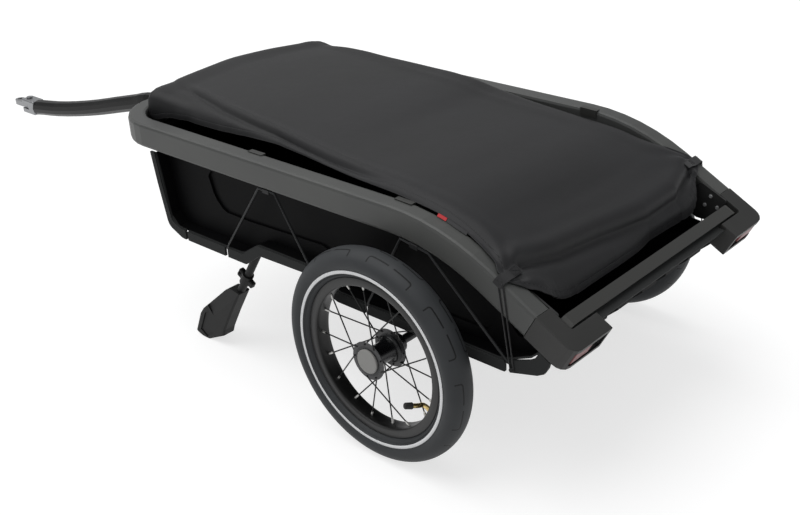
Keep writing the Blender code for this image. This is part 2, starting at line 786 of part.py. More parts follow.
def mirrored(obj):
    new = copy_of(obj, MIRROR_Y)
    bpy.data.objects.remove(obj, do_unlink=True)
    return new


# Stay rods

def rail_run_height(x):
    return rail_under(x) - GAP - STAY_R


def make_stay(feet_and_tops, name):
    """Rod from a hook under the lip, up to the rail, along it and down to the next hook."""
    foot_a, top_a, top_b, foot_b = feet_and_tops
    hook = hook_height()
    hook_y = STAY_Y - 0.018
    points = [(foot_a, hook_y, hook), (foot_a, STAY_Y - 0.003, hook), (foot_a, STAY_Y, hook + HOOK_BEND)]
    points += [(top_a, STAY_Y, rail_run_height(top_a)), (top_b, STAY_Y, rail_run_height(top_b))]
    points += [(foot_b, STAY_Y, hook + HOOK_BEND), (foot_b, STAY_Y - 0.003, hook), (foot_b, hook_y, hook)]
    pair(tube(points, STAY_R, 1), name, "rod_grey")
    middle = (top_a + top_b) / 2
    fall = math.atan2(rail_run_height(top_a) - rail_run_height(top_b), top_a - top_b)
    line_z = (rail_run_height(top_a) + rail_run_height(top_b)) / 2
    along = Vector((math.cos(fall), 0, math.sin(fall)))
    centre = Vector((middle, STAY_Y, line_z))
    low = -STAY_R - 0.003
    high = rail_under(middle) - GAP - line_z
    saddle = block((-0.009, -0.017, low), (0.009, STAY_R + 0.0008, high - 0.0002), 0.001, 1)
    saddle.data.transform(Matrix.Translation(centre) @ Matrix.Rotation(-fall, 4, "Y"))
    hole = rod(centre - along * 0.02, centre + along * 0.02, STAY_R + GAP, 12)
    saddle = cut(saddle, hole)
    up = Vector((-math.sin(fall), 0, math.cos(fall)))
    screw = centre + up * low + Vector((0, -0.0105, 0))
    saddle = join(saddle, bolt_head(screw, -up, 0.0036, 0.0022))
    pair(saddle, name + "_saddle", "black_rubber")


# Axle beam

def make_axle():
    z = WHEEL_R
    beam = rod((0, -BEAM_END_Y, z), (0, BEAM_END_Y, z), BEAM_R, 16)
    for side in (1, -1):
        bore = rod((0, side * (BEAM_END_Y - PIN_SEAT - 0.003), z), (0, side * (BEAM_END_Y + 0.01), z),
                   PIN_R + RUNNING, 16)
        beam = cut(beam, bore)
    finish(beam, "axle_beam", "rod_grey", (0, 0, z))
    top = TUB_FLOOR_Z - LOBE_DEPTH - TUB_T / 2 - GAP
    ring = BEAM_R + 0.005
    near = BRACKET_Y - BRACKET_W / 2
    far = BRACKET_Y + BRACKET_W / 2
    outline = [(ring + 0.004, top - 0.003), (-ring - 0.004, top - 0.003)] + arc((0, z), ring, 180, 360, 8)
    hole = arc((0, z), BEAM_R + GAP, 0, 360 - 22.5, 15)
    bracket = join(block((-0.030, near, top - 0.004), (0.030, far, top)),
                   plate([outline, hole], near + 0.001, far - 0.001))
    for x in (-0.0240, 0.0240):
        bracket = join(bracket, bolt_head((x, BRACKET_Y, top - 0.004), (0, 0, -1)))
    pair(bracket, "axle_bracket", "rod_grey")


# Wheels

def ring_outline(half):
    """Outline of both halves of a section from (radius, outboard offset) points of one half."""
    return half + [(r, -y) for r, y in reversed(half)]


def place_wheel_part(obj):
    obj.data.transform(Matrix.Translation((0, WHEEL_Y, WHEEL_R)))
    return obj


def wheel_pair(obj, name, finish_name):
    pair(place_wheel_part(obj), name, finish_name, (0, WHEEL_Y, WHEEL_R))


def make_tyre():
    bead = RIM_HALF_W - RIM_WALL - GAP
    half = [(RIM_BED_R + GAP, bead), (RIM_EDGE_R + 0.0010, bead), (RIM_EDGE_R + 0.0040, 0.0205),
            (STRIPE_R - STRIPE_W / 2 - 0.0008, SIDEWALL_Y), (STRIPE_R + STRIPE_W / 2 + 0.0008, SIDEWALL_Y),
            (0.1800, TYRE_HALF_W), (0.1905, TYRE_HALF_W - 0.0015), (0.1990, 0.0205),
            (WHEEL_R, 0.0085)]
    wheel_pair(turned(ring_outline(half), WHEEL_STEPS), "tyre", "tyre_rubber")
    low = SIDEWALL_Y + GAP
    half_w = STRIPE_W / 2
    band = turned([(STRIPE_R - half_w, low), (STRIPE_R + half_w, low),
                   (STRIPE_R + half_w, low + STRIPE_T), (STRIPE_R - half_w, low + STRIPE_T)], WHEEL_STEPS)
    wheel_pair(band, "reflective_band", "reflective_band")


def spoke_line(k):
    """Start in the hub flange and end in the rim of spoke k, and the direction between them."""
    outer = k % 2 == 0
    flange = HUB_OUTER_FLANGE if outer else HUB_INNER_FLANGE
    swing = 1 if (k // 2) % 2 == 0 else -1
    nipple = math.radians(SPOKE_PHASE + 360 * k / SPOKES)
    hole = nipple + swing * SPOKE_SWEEP
    offset = flange + swing * (FLANGE_HALF_T + 0.0005)
    start = Vector((SPOKE_CIRCLE_R * math.cos(hole), offset, SPOKE_CIRCLE_R * math.sin(hole)))
    reach = RIM_INNER_R + 0.0012
    end = Vector((reach * math.cos(nipple), math.copysign(0.002, flange), reach * math.sin(nipple)))
    return start, end, (end - start).normalized()


def make_rim():
    half = [(RIM_INNER_R, 0.0145), (RIM_INNER_R + 0.003, RIM_HALF_W), (RIM_EDGE_R, RIM_HALF_W),
            (RIM_EDGE_R, RIM_HALF_W - RIM_WALL), (RIM_BED_R, RIM_HALF_W - RIM_WALL)]
    rim = turned(ring_outline(half), WHEEL_STEPS)
    nipples = []
    for k in range(SPOKES):
        start, end, along = spoke_line(k)
        nipples.append(rod(end, end - along * NIPPLE_LEN, NIPPLE_R, 6))
    hole = rod(valve_point(RIM_INNER_R - 0.01), valve_point(RIM_EDGE_R), VALVE_STEM_R + 2 * GAP, 12)
    rim = cut(join(rim, group(*nipples)), hole)
    wheel_pair(rim, "rim", "rim_black")


def make_hub():
    """Hub shell with its flanges, bearing seats and button recess, and the spokes laced into it."""
    bore = PIN_R + 0.003
    seat = BEARING_R + GAP
    inner_end = HUB_INNER_END - WHEEL_Y
    recess = BUTTON_FACE_Y - WHEEL_Y - 0.011
    edge = FLANGE_HALF_T * 0.65
    profile = [
        (seat, inner_end), (0.0180, inner_end), (0.0180, HUB_INNER_FLANGE - 0.004),
        (0.0290, HUB_INNER_FLANGE - FLANGE_HALF_T), (FLANGE_R, HUB_INNER_FLANGE - edge),
        (FLANGE_R, HUB_INNER_FLANGE + edge), (0.0290, HUB_INNER_FLANGE + FLANGE_HALF_T),
        (BARREL_R, HUB_INNER_FLANGE + 0.011), (BARREL_R, HUB_OUTER_FLANGE - 0.013),
        (0.0270, HUB_OUTER_FLANGE - FLANGE_HALF_T - 0.001), (FLANGE_R, HUB_OUTER_FLANGE - edge),
        (FLANGE_R, HUB_OUTER_FLANGE + edge), (BUTTON_R + 0.003, HUB_OUTER_FLANGE + FLANGE_HALF_T),
        (BUTTON_R + RUNNING, HUB_OUTER_FLANGE + FLANGE_HALF_T), (BUTTON_R + RUNNING, recess),
        (seat, recess), (seat, recess - BEARING_W), (bore, recess - BEARING_W),
        (bore, inner_end + BEARING_W), (seat, inner_end + BEARING_W)]
    hub = turned(profile, HUB_STEPS)
    spokes = []
    for k in range(SPOKES):
        start, end, along = spoke_line(k)
        spokes.append(rod(start, end - along * (NIPPLE_LEN + GAP), SPOKE_R, 5))
    wheel_pair(join(hub, group(*spokes)), "hub", "hub_black")
    inside = PIN_R + GAP
    outside = BEARING_R
    for name, low in (("outer_bearing", recess - BEARING_W + GAP), ("inner_bearing", inner_end - 0.0004)):
        high = low + BEARING_W - GAP
        ring = turned([(inside, low), (outside, low), (outside, high), (inside, high)], 12)
        wheel_pair(ring, name, "steel")


def make_axle_pins():
    """Quick release pins that plug into the beam, and the buttons on their outer ends."""
    recess = BUTTON_FACE_Y - 0.011
    z = WHEEL_R
    collar = recess + GAP
    pin = join(rod((0, BEAM_END_Y - PIN_SEAT, z), (0, collar + 0.001, z), PIN_R, 16),
               rod((0, collar, z), (0, collar + 0.002, z), 0.0095, 16))
    bore = rod((0, recess - 0.020, z), (0, recess + 0.01, z), BUTTON_STEM_R + GAP, 12)
    pair(cut(pin, bore), "axle_pin", "steel", (0, WHEEL_Y, z))
    back = BUTTON_FACE_Y - 0.0055
    button = rod((0, back, z), (0, BUTTON_FACE_Y, z), BUTTON_R, 24)
    button = rounded(button, 0.0012, 1)
    stem = rod((0, recess - 0.014, z), (0, back + 0.001, z), BUTTON_STEM_R, 12)
    pair(join(button, stem), "release_button", "button_grey", (0, BUTTON_FACE_Y, z))


def valve_point(r, y=0.0):
    return (r * math.cos(VALVE_ANGLE), y, r * math.sin(VALVE_ANGLE))


def make_valve():
    """Bent valve stem and its cap."""
    bed = RIM_BED_R + 0.0002
    elbow = RIM_INNER_R - 0.014
    tip = elbow - VALVE_LEN * math.cos(VALVE_BEND)
    side = VALVE_LEN * math.sin(VALVE_BEND)
    route = [valve_point(bed - 0.0035), valve_point(elbow + 0.003), valve_point(elbow - 0.0015, 0.0012),
             valve_point(tip, side)]
    stem = tube(route, VALVE_STEM_R, 2)
    wheel_pair(stem, "valve", "brass")
    along = (Vector(valve_point(tip, side)) - Vector(valve_point(elbow - 0.0015, 0.0012))).normalized()
    start = Vector(valve_point(tip, side)) + along * GAP
    cap = rounded(rod(start, start + along * 0.012, VALVE_R, 12), 0.0008, 1)
    wheel_pair(cap, "valve_cap", "black_rubber")


# Drawbar and hitch

def drawbar_route():
    """Centre line of the drawbar in side view, a smooth curve through hand-set heights."""
    start = RAIL_FRONT_X + SOCKET_PLATE - 0.003
    knots = [(start, 0.4450), (0.8840, 0.4400), (0.9240, 0.4285), (1.0070, 0.4060), (1.0940, 0.3820),
             (1.1850, 0.3600), (1.2780, 0.3410), (1.3500, 0.3300), (HITCH_X - 0.037, HITCH_Z)]
    knots = [Vector(k) for k in knots]
    out = []
    for i in range(len(knots) - 1):
        p0 = knots[max(i - 1, 0)]
        p3 = knots[min(i + 2, len(knots) - 1)]
        for step in range(2):
            t = step / 2
            a = (knots[i + 1] - p0) / 2
            b = (p3 - knots[i]) / 2
            q = knots[i] * (2 * t ** 3 - 3 * t ** 2 + 1) + a * (t ** 3 - 2 * t ** 2 + t)
            q += knots[i + 1] * (3 * t ** 2 - 2 * t ** 3) + b * (t ** 3 - t ** 2)
            out.append((q.x, DRAWBAR_Y, q.y))
    out.append((knots[-1].x, DRAWBAR_Y, knots[-1].y))
    return out


def make_drawbar():
    z = 0.4450
    route = drawbar_route()
    bar = tube(route, DRAWBAR_R, 4)
    face = RAIL_FRONT_X + SOCKET_PLATE
    flat_start = block((face - 0.05, 0.0, z - 0.1), (face + GAP, 0.3, z + 0.1))
    end_x = route[-1][0] - 0.0025
    flat_end = block((end_x, 0.0, HITCH_Z - 0.1), (end_x + 0.05, 0.3, HITCH_Z + 0.1))
    bar = cut(bar, flat_start, flat_end)
    dip = (route[1][2] - z) / (route[1][0] - route[0][0])
    stub_end = (face + STUB_LEN, DRAWBAR_Y, z + dip * STUB_LEN)
    mouth = (face - 0.004, DRAWBAR_Y, z - dip * 0.004)
    bar = cut(bar, rod(mouth, (stub_end[0] + 0.004, DRAWBAR_Y, stub_end[2] + dip * 0.004),
                       DRAWBAR_BORE_R, 16))
    tip = Vector(route[-1])
    back = (Vector(route[-2]) - tip).normalized()
    bar = cut(bar, rod(tip - back * 0.01, tip + back * 0.033, DRAWBAR_BORE_R, 16))
    pin_x = face + 0.030
    pin_z = z + dip * 0.030
    pin_hole = rod((pin_x, DRAWBAR_Y, pin_z - 0.03), (pin_x, DRAWBAR_Y, pin_z + 0.008), LOCK_R + RUNNING, 12)
    bar = cut(bar, copy_of(pin_hole))
    finish(bar, "drawbar", "drawbar_grey")
    plate_half = (0.030, 0.021)
    socket = block((RAIL_FRONT_X + GAP, DRAWBAR_Y - plate_half[0], z - plate_half[1]),
                   (face, DRAWBAR_Y + plate_half[0], z + plate_half[1]), 0.0015, 1)
    socket = join(socket, rod((face - 0.002, DRAWBAR_Y, z), stub_end, DRAWBAR_BORE_R - GAP, 16))
    for side in (1, -1):
        for height in (-0.012, 0.012):
            socket = join(socket, bolt_head((face, DRAWBAR_Y + side * 0.0248, z + height), (1, 0, 0), 0.0038))
    socket = cut(socket, pin_hole)
    finish(socket, "drawbar_socket", "rail_grey")
    low = pin_z - DRAWBAR_R - 0.004
    lock = join(rod((pin_x, DRAWBAR_Y, low - 0.003), (pin_x, DRAWBAR_Y, pin_z + 0.006), LOCK_R, 12),
                rod((pin_x, DRAWBAR_Y, low - 0.010), (pin_x, DRAWBAR_Y, low), 0.0075, 12))
    finish(lock, "drawbar_lock_pin", "steel", (pin_x, DRAWBAR_Y, low))
    make_hitch(tip, back)


def make_hitch(tip, back):
    z = HITCH_Z
    pin_x = HITCH_X
    plug = rod(tip + back * 0.030, tip - back * 0.004, DRAWBAR_BORE_R - GAP, 16)
    head = block((tip.x - 0.0025 + GAP, DRAWBAR_Y - 0.0165, z - 0.0180),
                 (pin_x + 0.0150, DRAWBAR_Y + 0.0165, z + 0.0180), 0.003, 2)
    slot = block((pin_x - TONGUE_R - 0.002, DRAWBAR_Y - 0.03, z - TONGUE_T / 2 - RUNNING),
                 (pin_x + 0.03, DRAWBAR_Y + 0.03, z + TONGUE_T / 2 + RUNNING))
    hole = rod((pin_x, DRAWBAR_Y, z - 0.03), (pin_x, DRAWBAR_Y, z + 0.03), HITCH_PIN_R + RUNNING, 12)
    fork = cut(join(head, plug), slot, copy_of(hole))
    finish(fork, "hitch_fork", "steel")
    long = FRONT_TIP - pin_x
    outline = arc((pin_x, DRAWBAR_Y), TONGUE_R, 90, 270, 8)
    outline += arc((pin_x + long - TONGUE_R, DRAWBAR_Y), TONGUE_R, -90, 90, 8)
    eye = arc((pin_x + long - TONGUE_R, DRAWBAR_Y), 0.0055, 0, 330, 11)
    tongue = cut(plate([outline, eye], z - TONGUE_T / 2, z + TONGUE_T / 2, "XY"), hole)
    finish(tongue, "hitch_tongue", "steel", (pin_x, DRAWBAR_Y, z))
    pin = join(rod((pin_x, DRAWBAR_Y, z - 0.0225), (pin_x, DRAWBAR_Y, z + 0.0200), HITCH_PIN_R, 12),
               rod((pin_x, DRAWBAR_Y, z + 0.0180 + GAP), (pin_x, DRAWBAR_Y, z + 0.0215), 0.0075, 12))
    finish(pin, "hitch_pin", "steel", (pin_x, DRAWBAR_Y, z))


# Stand

STAND_ALONG = Vector((math.cos(STAND_ANGLE), 0, -math.sin(STAND_ANGLE)))
STAND_ACROSS = Vector((math.sin(STAND_ANGLE), 0, math.cos(STAND_ANGLE)))


def stand_point(s, t=0.0, y=0.0):
    """Point at s down the leg and t ahead of its axis."""
    pivot = Vector((STAND_PIVOT[0], STAND_Y + y, STAND_PIVOT[1]))
    return pivot + STAND_ALONG * s + STAND_ACROSS * t


def make_stand():
    x, z = STAND_PIVOT
    r = STAND_LEG_R
    pin_r = 0.004
    ear_t = 0.0025
    top = TUB_RECESS_Z - TUB_T / 2 - GAP
    inner = r + GAP
    rear = x - 0.068
    front = x - 0.034
    ear_outline = [(front, top), (rear, top), (rear, top - 0.003)]
    ear_outline += arc((x, z), STAND_EAR_R, 215, 400, 8)
    hole = arc((x, z), pin_r + GAP, 0, 330, 11)
    ears = []
    for side in (1, -1):
        near = STAND_Y + side * inner
        far = STAND_Y + side * (inner + ear_t)
        ears.append(plate([ear_outline, list(hole)], min(near, far), max(near, far)))
    base = block((rear, STAND_Y - inner - ear_t, top - 0.0025), (front, STAND_Y + inner + ear_t, top))
    bracket = join(base, *ears)
    bracket = join(bracket, bolt_head(((rear + front) / 2, STAND_Y, top - 0.0025), (0, 0, -1), 0.0035, 0.002))
    finish(bracket, "stand_bracket", "stand_grey")
    long = inner + ear_t
    pin = join(rod((x, STAND_Y - long - 0.001, z), (x, STAND_Y + long + 0.001, z), pin_r, 12),
               rod((x, STAND_Y + long + GAP, z), (x, STAND_Y + long + 0.002, z), 0.006, 12),
               rod((x, STAND_Y - long - 0.002, z), (x, STAND_Y - long - GAP, z), 0.006, 12))
    finish(pin, "stand_pin", "steel", (x, STAND_Y, z))
    leg = join(rod(stand_point(0), stand_point(STAND_LEG_LEN), r, 16),
               rod((x, STAND_Y - r, z), (x, STAND_Y + r, z), r, 16))
    leg = cut(leg, rod((x, STAND_Y - 0.02, z), (x, STAND_Y + 0.02, z), pin_r + RUNNING, 12))
    finish(leg, "stand_leg", "stand_grey", (x, STAND_Y, z))
    make_stand_foot()


def make_stand_foot():
    """Clamp round the leg, and the boot-shaped foot below it."""
    r = STAND_LEG_R
    pivot = (STAND_PIVOT[0], STAND_Y, STAND_PIVOT[1])
    collar = rod(stand_point(STAND_LEG_LEN - 0.013), stand_point(STAND_LEG_LEN + 0.013), r + 0.0035, 16)
    turn = Matrix((STAND_ALONG, Vector((0, 1, 0)), STAND_ACROSS)).transposed().to_4x4()
    for half, side in ((0.010, 1), (0.007, -1)):
        lug = block((-half, -0.006, -0.008), (half, 0.006, 0.008), 0.002, 1)
        lug.data.transform(Matrix.Translation(stand_point(STAND_LEG_LEN, side * (r + 0.006))) @ turn)
        collar = join(collar, lug)
    bore = rod(stand_point(STAND_LEG_LEN - 0.03), stand_point(STAND_LEG_LEN + 0.03), r + GAP, 16)
    collar = cut(collar, bore)
    collar = join(collar, bolt_head(stand_point(STAND_LEG_LEN, r + 0.009, 0.006), (0, 1, 0), 0.004, 0.0025))
    finish(collar, "stand_collar", "stand_grey", pivot)
    neck = rod(stand_point(STAND_LEG_LEN + GAP), stand_point(0.165), r, 16)
    along = [(0.1243, -0.0089), (0.1426, 0.0224), (0.1561, 0.0283), (0.2614, 0.0599), (0.2809, 0.0614),
             (0.3366, 0.0529)]
    behind = [(0.2686, -0.0166), (0.2509, -0.0132), (0.1977, -0.0105)]
    toe = (stand_point(*along[-1]).x - 0.0165, 0.0)
    heel = (toe[0] - 0.0288, 0.0)
    outline = [(p.x, p.z) for p in (stand_point(s, t) for s, t in along)] + [toe, heel]
    outline += [(p.x, p.z) for p in (stand_point(s, t) for s, t in behind)]
    foot = plate([outline], STAND_Y - FOOT_HALF_W, STAND_Y + FOOT_HALF_W)
    foot = rounded(foot, 0.004, 2, math.radians(50))
    foot = cut(join(foot, neck), foot_slant(), foot_recess())
    finish(foot, "stand_foot", "stand_grey", pivot)


def foot_recess():
    """Cutter for the bent recess in the outer face of the foot."""
    outline = [(0.2500, 0.0270), (0.2500, 0.0440), (0.2660, 0.0500), (0.3180, 0.0430), (0.3180, 0.0200),
               (0.2860, 0.0080)]
    outline = [(p.x, p.z) for p in (stand_point(s, t) for s, t in outline)]
    return plate([outline], STAND_Y + FOOT_HALF_W - 0.002, STAND_Y + FOOT_HALF_W + 0.01)


def foot_slant():
    """Cutter for the slanted upper part of the foot's outer face, which starts at a ridge."""
    face = STAND_Y + FOOT_HALF_W
    low = stand_point(0.1050, -0.0180)
    high = stand_point(0.2460, 0.0270)
    ridge = (high - low).normalized()
    across = Vector((-ridge.z, 0, ridge.x))
    outline = [(p.x, p.z) for p in (low, high, high + across * 0.05, low + across * 0.05)]
    cutter = plate([outline], face, face + 0.01)
    for vert in cutter.data.vertices:
        if vert.co.y < face + 0.005:
            beyond = (vert.co - low).dot(across)
            vert.co.y -= 0.16 * max(beyond, 0.0)
    return cutter


# Cover and its fastenings

def ease(low, high, value):
    t = max(0.0, min(1.0, (value - low) / (high - low)))
    return t * t * (3 - 2 * t)


def between(points, x):
    """Value at x of the broken line through points given as (x, value), rising in x."""
    if x <= points[0][0]:
        return points[0][1]
    for (x0, v0), (x1, v1) in zip(points, points[1:]):
        if x <= x1:
            return v0 + (v1 - v0) * (x - x0) / (x1 - x0)
    return points[-1][1]


# Edge of the cover along each side: x, then (distance from the centre line, height above the rail's
# top) of the hem, of the middle of the skirt, of its upper edge and of the shoulder
LEFT_EDGE = [
    (-0.205, (0.3000, 0.0025), (0.2930, 0.0025), (0.2860, 0.0027), (0.2620, 0.0120)),
    (-0.180, (0.2970, 0.0025), (0.2900, 0.0025), (0.2820, 0.0028), (0.2600, 0.0120)),
    (-0.155, (0.2705, 0.0025), (0.2690, 0.0030), (0.2660, 0.0060), (0.2560, 0.0120)),
    (-0.135, (0.2680, -0.0140), (0.2680, -0.0060), (0.2660, 0.0030), (0.2560, 0.0120)),
    (0.150, (0.2680, -0.0140), (0.2680, -0.0060), (0.2660, 0.0030), (0.2535, 0.0130)),
    (0.200, (0.2560, 0.0040), (0.2555, 0.0060), (0.2540, 0.0090), (0.2500, 0.0135)),
    (0.292, (0.2430, 0.0040), (0.2425, 0.0080), (0.2410, 0.0120), (0.2375, 0.0180)),
    (0.390, (0.2304, 0.0040), (0.2290, 0.0090), (0.2270, 0.0140), (0.2200, 0.0225)),
    (0.479, (0.2310, -0.0010), (0.2285, 0.0070), (0.2250, 0.0145), (0.2120, 0.0265)),
    (0.563, (0.2315, -0.0060), (0.2280, 0.0040), (0.2220, 0.0140), (0.2000, 0.0285)),
    (0.666, (0.2225, -0.0110), (0.2215, 0.0010), (0.2160, 0.0140), (0.1740, 0.0290)),
    (0.720, (0.2220, -0.0160), (0.2210, 0.0010), (0.2190, 0.0205), (0.1610, 0.0290)),
    (0.775, (0.2215, -0.0235), (0.2215, 0.0030), (0.2215, 0.0290), (0.1530, 0.0290))]
RIGHT_EDGE = LEFT_EDGE[:4] + [
    (0.180, (0.2680, -0.0140), (0.2680, -0.0060), (0.2660, 0.0040), (0.2560, 0.0190)),
    (0.290, (0.2640, -0.0100), (0.2620, 0.0020), (0.2580, 0.0140), (0.2480, 0.0260)),
    (0.450, (0.2580, -0.0100), (0.2565, 0.0040), (0.2540, 0.0170), (0.2440, 0.0290)),
    (0.666, (0.2560, -0.0120), (0.2555, 0.0030), (0.2545, 0.0190), (0.2440, 0.0290)),
    (0.775, (0.2537, -0.0235), (0.2537, 0.0030), (0.2537, 0.0290), (0.2400, 0.0290))]
COVER_FRONT = [(-0.2537, 0.7451), (-0.2347, 0.7596), (-0.1312, 0.7868), (-0.0263, 0.8071),
               (0.1169, 0.7944), (0.2215, 0.7750)]
REAR_FOLD = [(-0.300, -0.222), (-0.276, -0.238), (-0.172, -0.272), (-0.067, -0.274), (0.065, -0.256),
             (0.168, -0.246), (0.211, -0.236), (0.300, -0.222)]
REAR_HEM_X = [(0.205, -0.286), (0.2594, -0.281), (0.286, -0.254), (0.300, -0.238)]
REAR_HEM_RISE = [(0.205, -0.0315), (0.2594, 0.0025), (0.300, 0.0025)]
COVER_COLUMNS = 12
COVER_ROWS = 11


def side_edge(table, x):
    """The four places (y, height above the rail's top) of one side of the cover at x."""
    places = []
    for k in range(1, 5):
        ys = [(row[0], row[k][0]) for row in table]
        heights = [(row[0], row[k][1]) for row in table]
        places.append((between(ys, x), between(heights, x)))
    return places


def front_limit(y):
    """Foremost x of the cover where it hangs inside the rail's front corners."""
    inside = RAIL_CORNER_R - RAIL_W - 0.0035
    beyond = max(0.0, abs(y) - (RAIL_OUTER_Y - RAIL_CORNER_R))
    return RAIL_FRONT_X - RAIL_CORNER_R + math.sqrt(inside ** 2 - beyond ** 2)


def top_row(x):
    """Places across the cover, from the right hem to the left hem, where it spans the tub."""
    left = side_edge(LEFT_EDGE, x)
    right = side_edge(RIGHT_EDGE, x)
    row = [(-y, height) for y, height in right]
    (y0, h0), (y1, h1) = row[-1], left[-1]
    for k in range(1, COVER_COLUMNS):
        share = k / COVER_COLUMNS
        y = y0 + (y1 - y0) * share
        swell = 0.004 * math.sin(math.pi * share) * ease(-0.10, 0.20, x)
        dip = -0.005 * math.exp(-((x + 0.175 - 0.05 * y) / 0.030) ** 2) * math.sin(math.pi * share)
        row.append((y, h0 + (h1 - h0) * share + swell + dip))
    row += reversed(left)
    places = []
    for y, height in row:
        forward = (between(COVER_FRONT, y) - 0.775) * ease(0.52, 0.775, x)
        places.append(Vector((x + forward, y, rail_top(x) + height)))
    return places


def rear_rows():
    """Hem, middle and fold of the flap that hangs down behind the cover."""
    half = [0.300, 0.293, 0.286, 0.2594]
    across = [-y for y in half]
    across += [half[-1] * (2 * k / COVER_COLUMNS - 1) for k in range(1, COVER_COLUMNS)]
    across += reversed(half)
    hem = []
    fold = []
    for y in across:
        x = between(REAR_HEM_X, abs(y))
        hem.append(Vector((x, y, rail_top(x) + between(REAR_HEM_RISE, abs(y)))))
        x = between(REAR_FOLD, y)
        lift = 0.0025 + 0.0095 * ease(0.286, 0.262, abs(y))
        fold.append(Vector((x, y, rail_top(x) + lift)))
    middle = [a.lerp(b, 0.5) + Vector((-0.004, 0, 0.002)) * ease(0.286, 0.24, abs(a.y))
              for a, b in zip(hem, fold)]
    return [hem, middle, fold]


def front_rows(edge):
    """Middle and hem of the flap that hangs down inside the rail's front."""
    rows = []
    for height in (0.0030, -0.0235):
        rows.append([Vector((min(p.x, front_limit(p.y)), p.y, RAIL_TOP + height)) for p in edge])
    return rows


def make_cover():
    """Fitted cover like the lid of a box: a stretched top with flaps inside the rail on all sides."""
    stations = [-0.205, -0.180, -0.155, -0.135, -0.100, 0.0]
    stations += [0.150 + (0.775 - 0.150) * i / COVER_ROWS for i in range(COVER_ROWS + 1)]
    rows = rear_rows() + [top_row(x) for x in stations]
    rows += front_rows(rows[-1])
    bm = bmesh.new()
    grid = [[bm.verts.new(p) for p in row] for row in rows]
    last = len(rows[0]) - 1
    for i in range(len(grid) - 1):
        for k in range(last):
            corner = i >= len(grid) - 3 and (k < 2 or k > last - 3)
            if not corner:
                bm.faces.new((grid[i][k], grid[i][k + 1], grid[i + 1][k + 1], grid[i + 1][k]))
    loose = [v for v in bm.verts if not v.link_faces]
    bmesh.ops.delete(bm, geom=loose, context="VERTS")
    bmesh.ops.remove_doubles(bm, verts=bm.verts, dist=0.0015)
    bmesh.ops.recalc_face_normals(bm, faces=bm.faces)
    if sum(face.normal.z for face in bm.faces) < 0:
        bmesh.ops.reverse_faces(bm, faces=bm.faces)
    sheet = from_bmesh(bm)
    solid = sheet.modifiers.new("cloth", "SOLIDIFY")
    solid.thickness = COVER_T
    solid.offset = 1
    finish(baked(sheet), "cover", "cover_fabric")


def make_tabs():
    """Tabs at the cover's rear corners, with a rivet, and the elastic loops that hold them down."""
    tab = block((TAB_S[0], 0.290, TAB_RISE), (TAB_S[1], TAB_END_Y, TAB_RISE + 0.002), 0.0006, 1)
    tab = slope_place(tab)
    middle = (TAB_S[0] + TAB_S[1]) / 2
    rivet = bolt_head(on_slope(middle, 0.303, -TAB_RISE - 0.002), SLOPE_UP, 0.0045, 0.0018)
    pair(join(tab, rivet), "cover_tab", "webbing")
    y = LOOP_Y
    front = on_slope(middle + 0.006, y, -TAB_RISE + 0.0011)
    rear = on_slope(middle - 0.006, y, -TAB_RISE + 0.0011)
    turn = PEG_R + GAP + LOOP_R
    points = [front] + [Vector((x, y, z)) for x, z in arc(PEG, turn, 0, -180, 6)] + [rear]
    pair(tube(points, LOOP_R, 1), "elastic_loop", "elastic")


def make_clips():
    """Bent clips over the rail's inner top edge."""
    inner = RAIL_OUTER_Y - RAIL_W
    for name, x0, x1 in (("front_clip", 0.357, 0.395), ("rear_clip", -0.023, 0.016)):
        middle = (x0 + x1) / 2
        fall = math.atan2(rail_top(x1) - rail_top(x0), x1 - x0)
        top = GAP + CLIP_T
        outline = [(inner - GAP, GAP), (inner - GAP, -0.014), (inner - top, -0.014),
                   (inner - top, top), (inner + 0.010, top), (inner + 0.010, GAP)]
        clip = plate([outline], x0 - middle, x1 - middle, "YZ")
        lift = Matrix.Translation((middle, 0, rail_top(middle)))
        clip.data.transform(lift @ Matrix.Rotation(-fall, 4, "Y"))
        pair(clip, name, "bar_grey")


def centre_origin():
    """Move the whole trailer so that the origin is midway between its foremost and rearmost points."""
    bpy.context.view_layer.update()
    xs = [(obj.matrix_world @ v.co).x for obj in PARTS.objects if obj.type == "MESH"
          for v in obj.data.vertices]
    ORIGIN.location.x = -(min(xs) + max(xs)) / 2


make_rail()
make_rear_caps()
make_cross_bar()
make_hangers()
make_tub()
make_stay(STAY_FRONT, "front_stay")
make_stay(STAY_REAR, "rear_stay")
make_axle()
make_tyre()
make_rim()
make_hub()
make_axle_pins()
make_valve()
make_drawbar()
make_stand()
make_cover()
make_tabs()
make_clips()
centre_origin()
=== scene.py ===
"""Looks for the bike cargo trailer: cloth, rubber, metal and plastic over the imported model."""
import math

import bmesh
import bpy
from mathutils import Matrix, Vector


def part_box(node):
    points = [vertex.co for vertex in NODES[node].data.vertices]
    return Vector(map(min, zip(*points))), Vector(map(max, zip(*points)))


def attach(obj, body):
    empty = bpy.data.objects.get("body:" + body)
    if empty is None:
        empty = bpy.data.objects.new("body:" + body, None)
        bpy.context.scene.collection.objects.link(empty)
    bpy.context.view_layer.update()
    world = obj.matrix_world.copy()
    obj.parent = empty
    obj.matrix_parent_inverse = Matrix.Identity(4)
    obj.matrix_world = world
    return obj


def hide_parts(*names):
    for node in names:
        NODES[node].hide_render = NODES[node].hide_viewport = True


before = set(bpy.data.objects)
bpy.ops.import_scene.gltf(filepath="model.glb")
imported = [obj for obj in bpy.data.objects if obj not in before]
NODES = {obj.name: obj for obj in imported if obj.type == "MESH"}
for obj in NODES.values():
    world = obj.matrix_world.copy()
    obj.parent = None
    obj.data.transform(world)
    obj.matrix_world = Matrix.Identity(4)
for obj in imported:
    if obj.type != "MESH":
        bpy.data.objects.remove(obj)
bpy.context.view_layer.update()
SIDES = ((1, "left"), (-1, "right"))

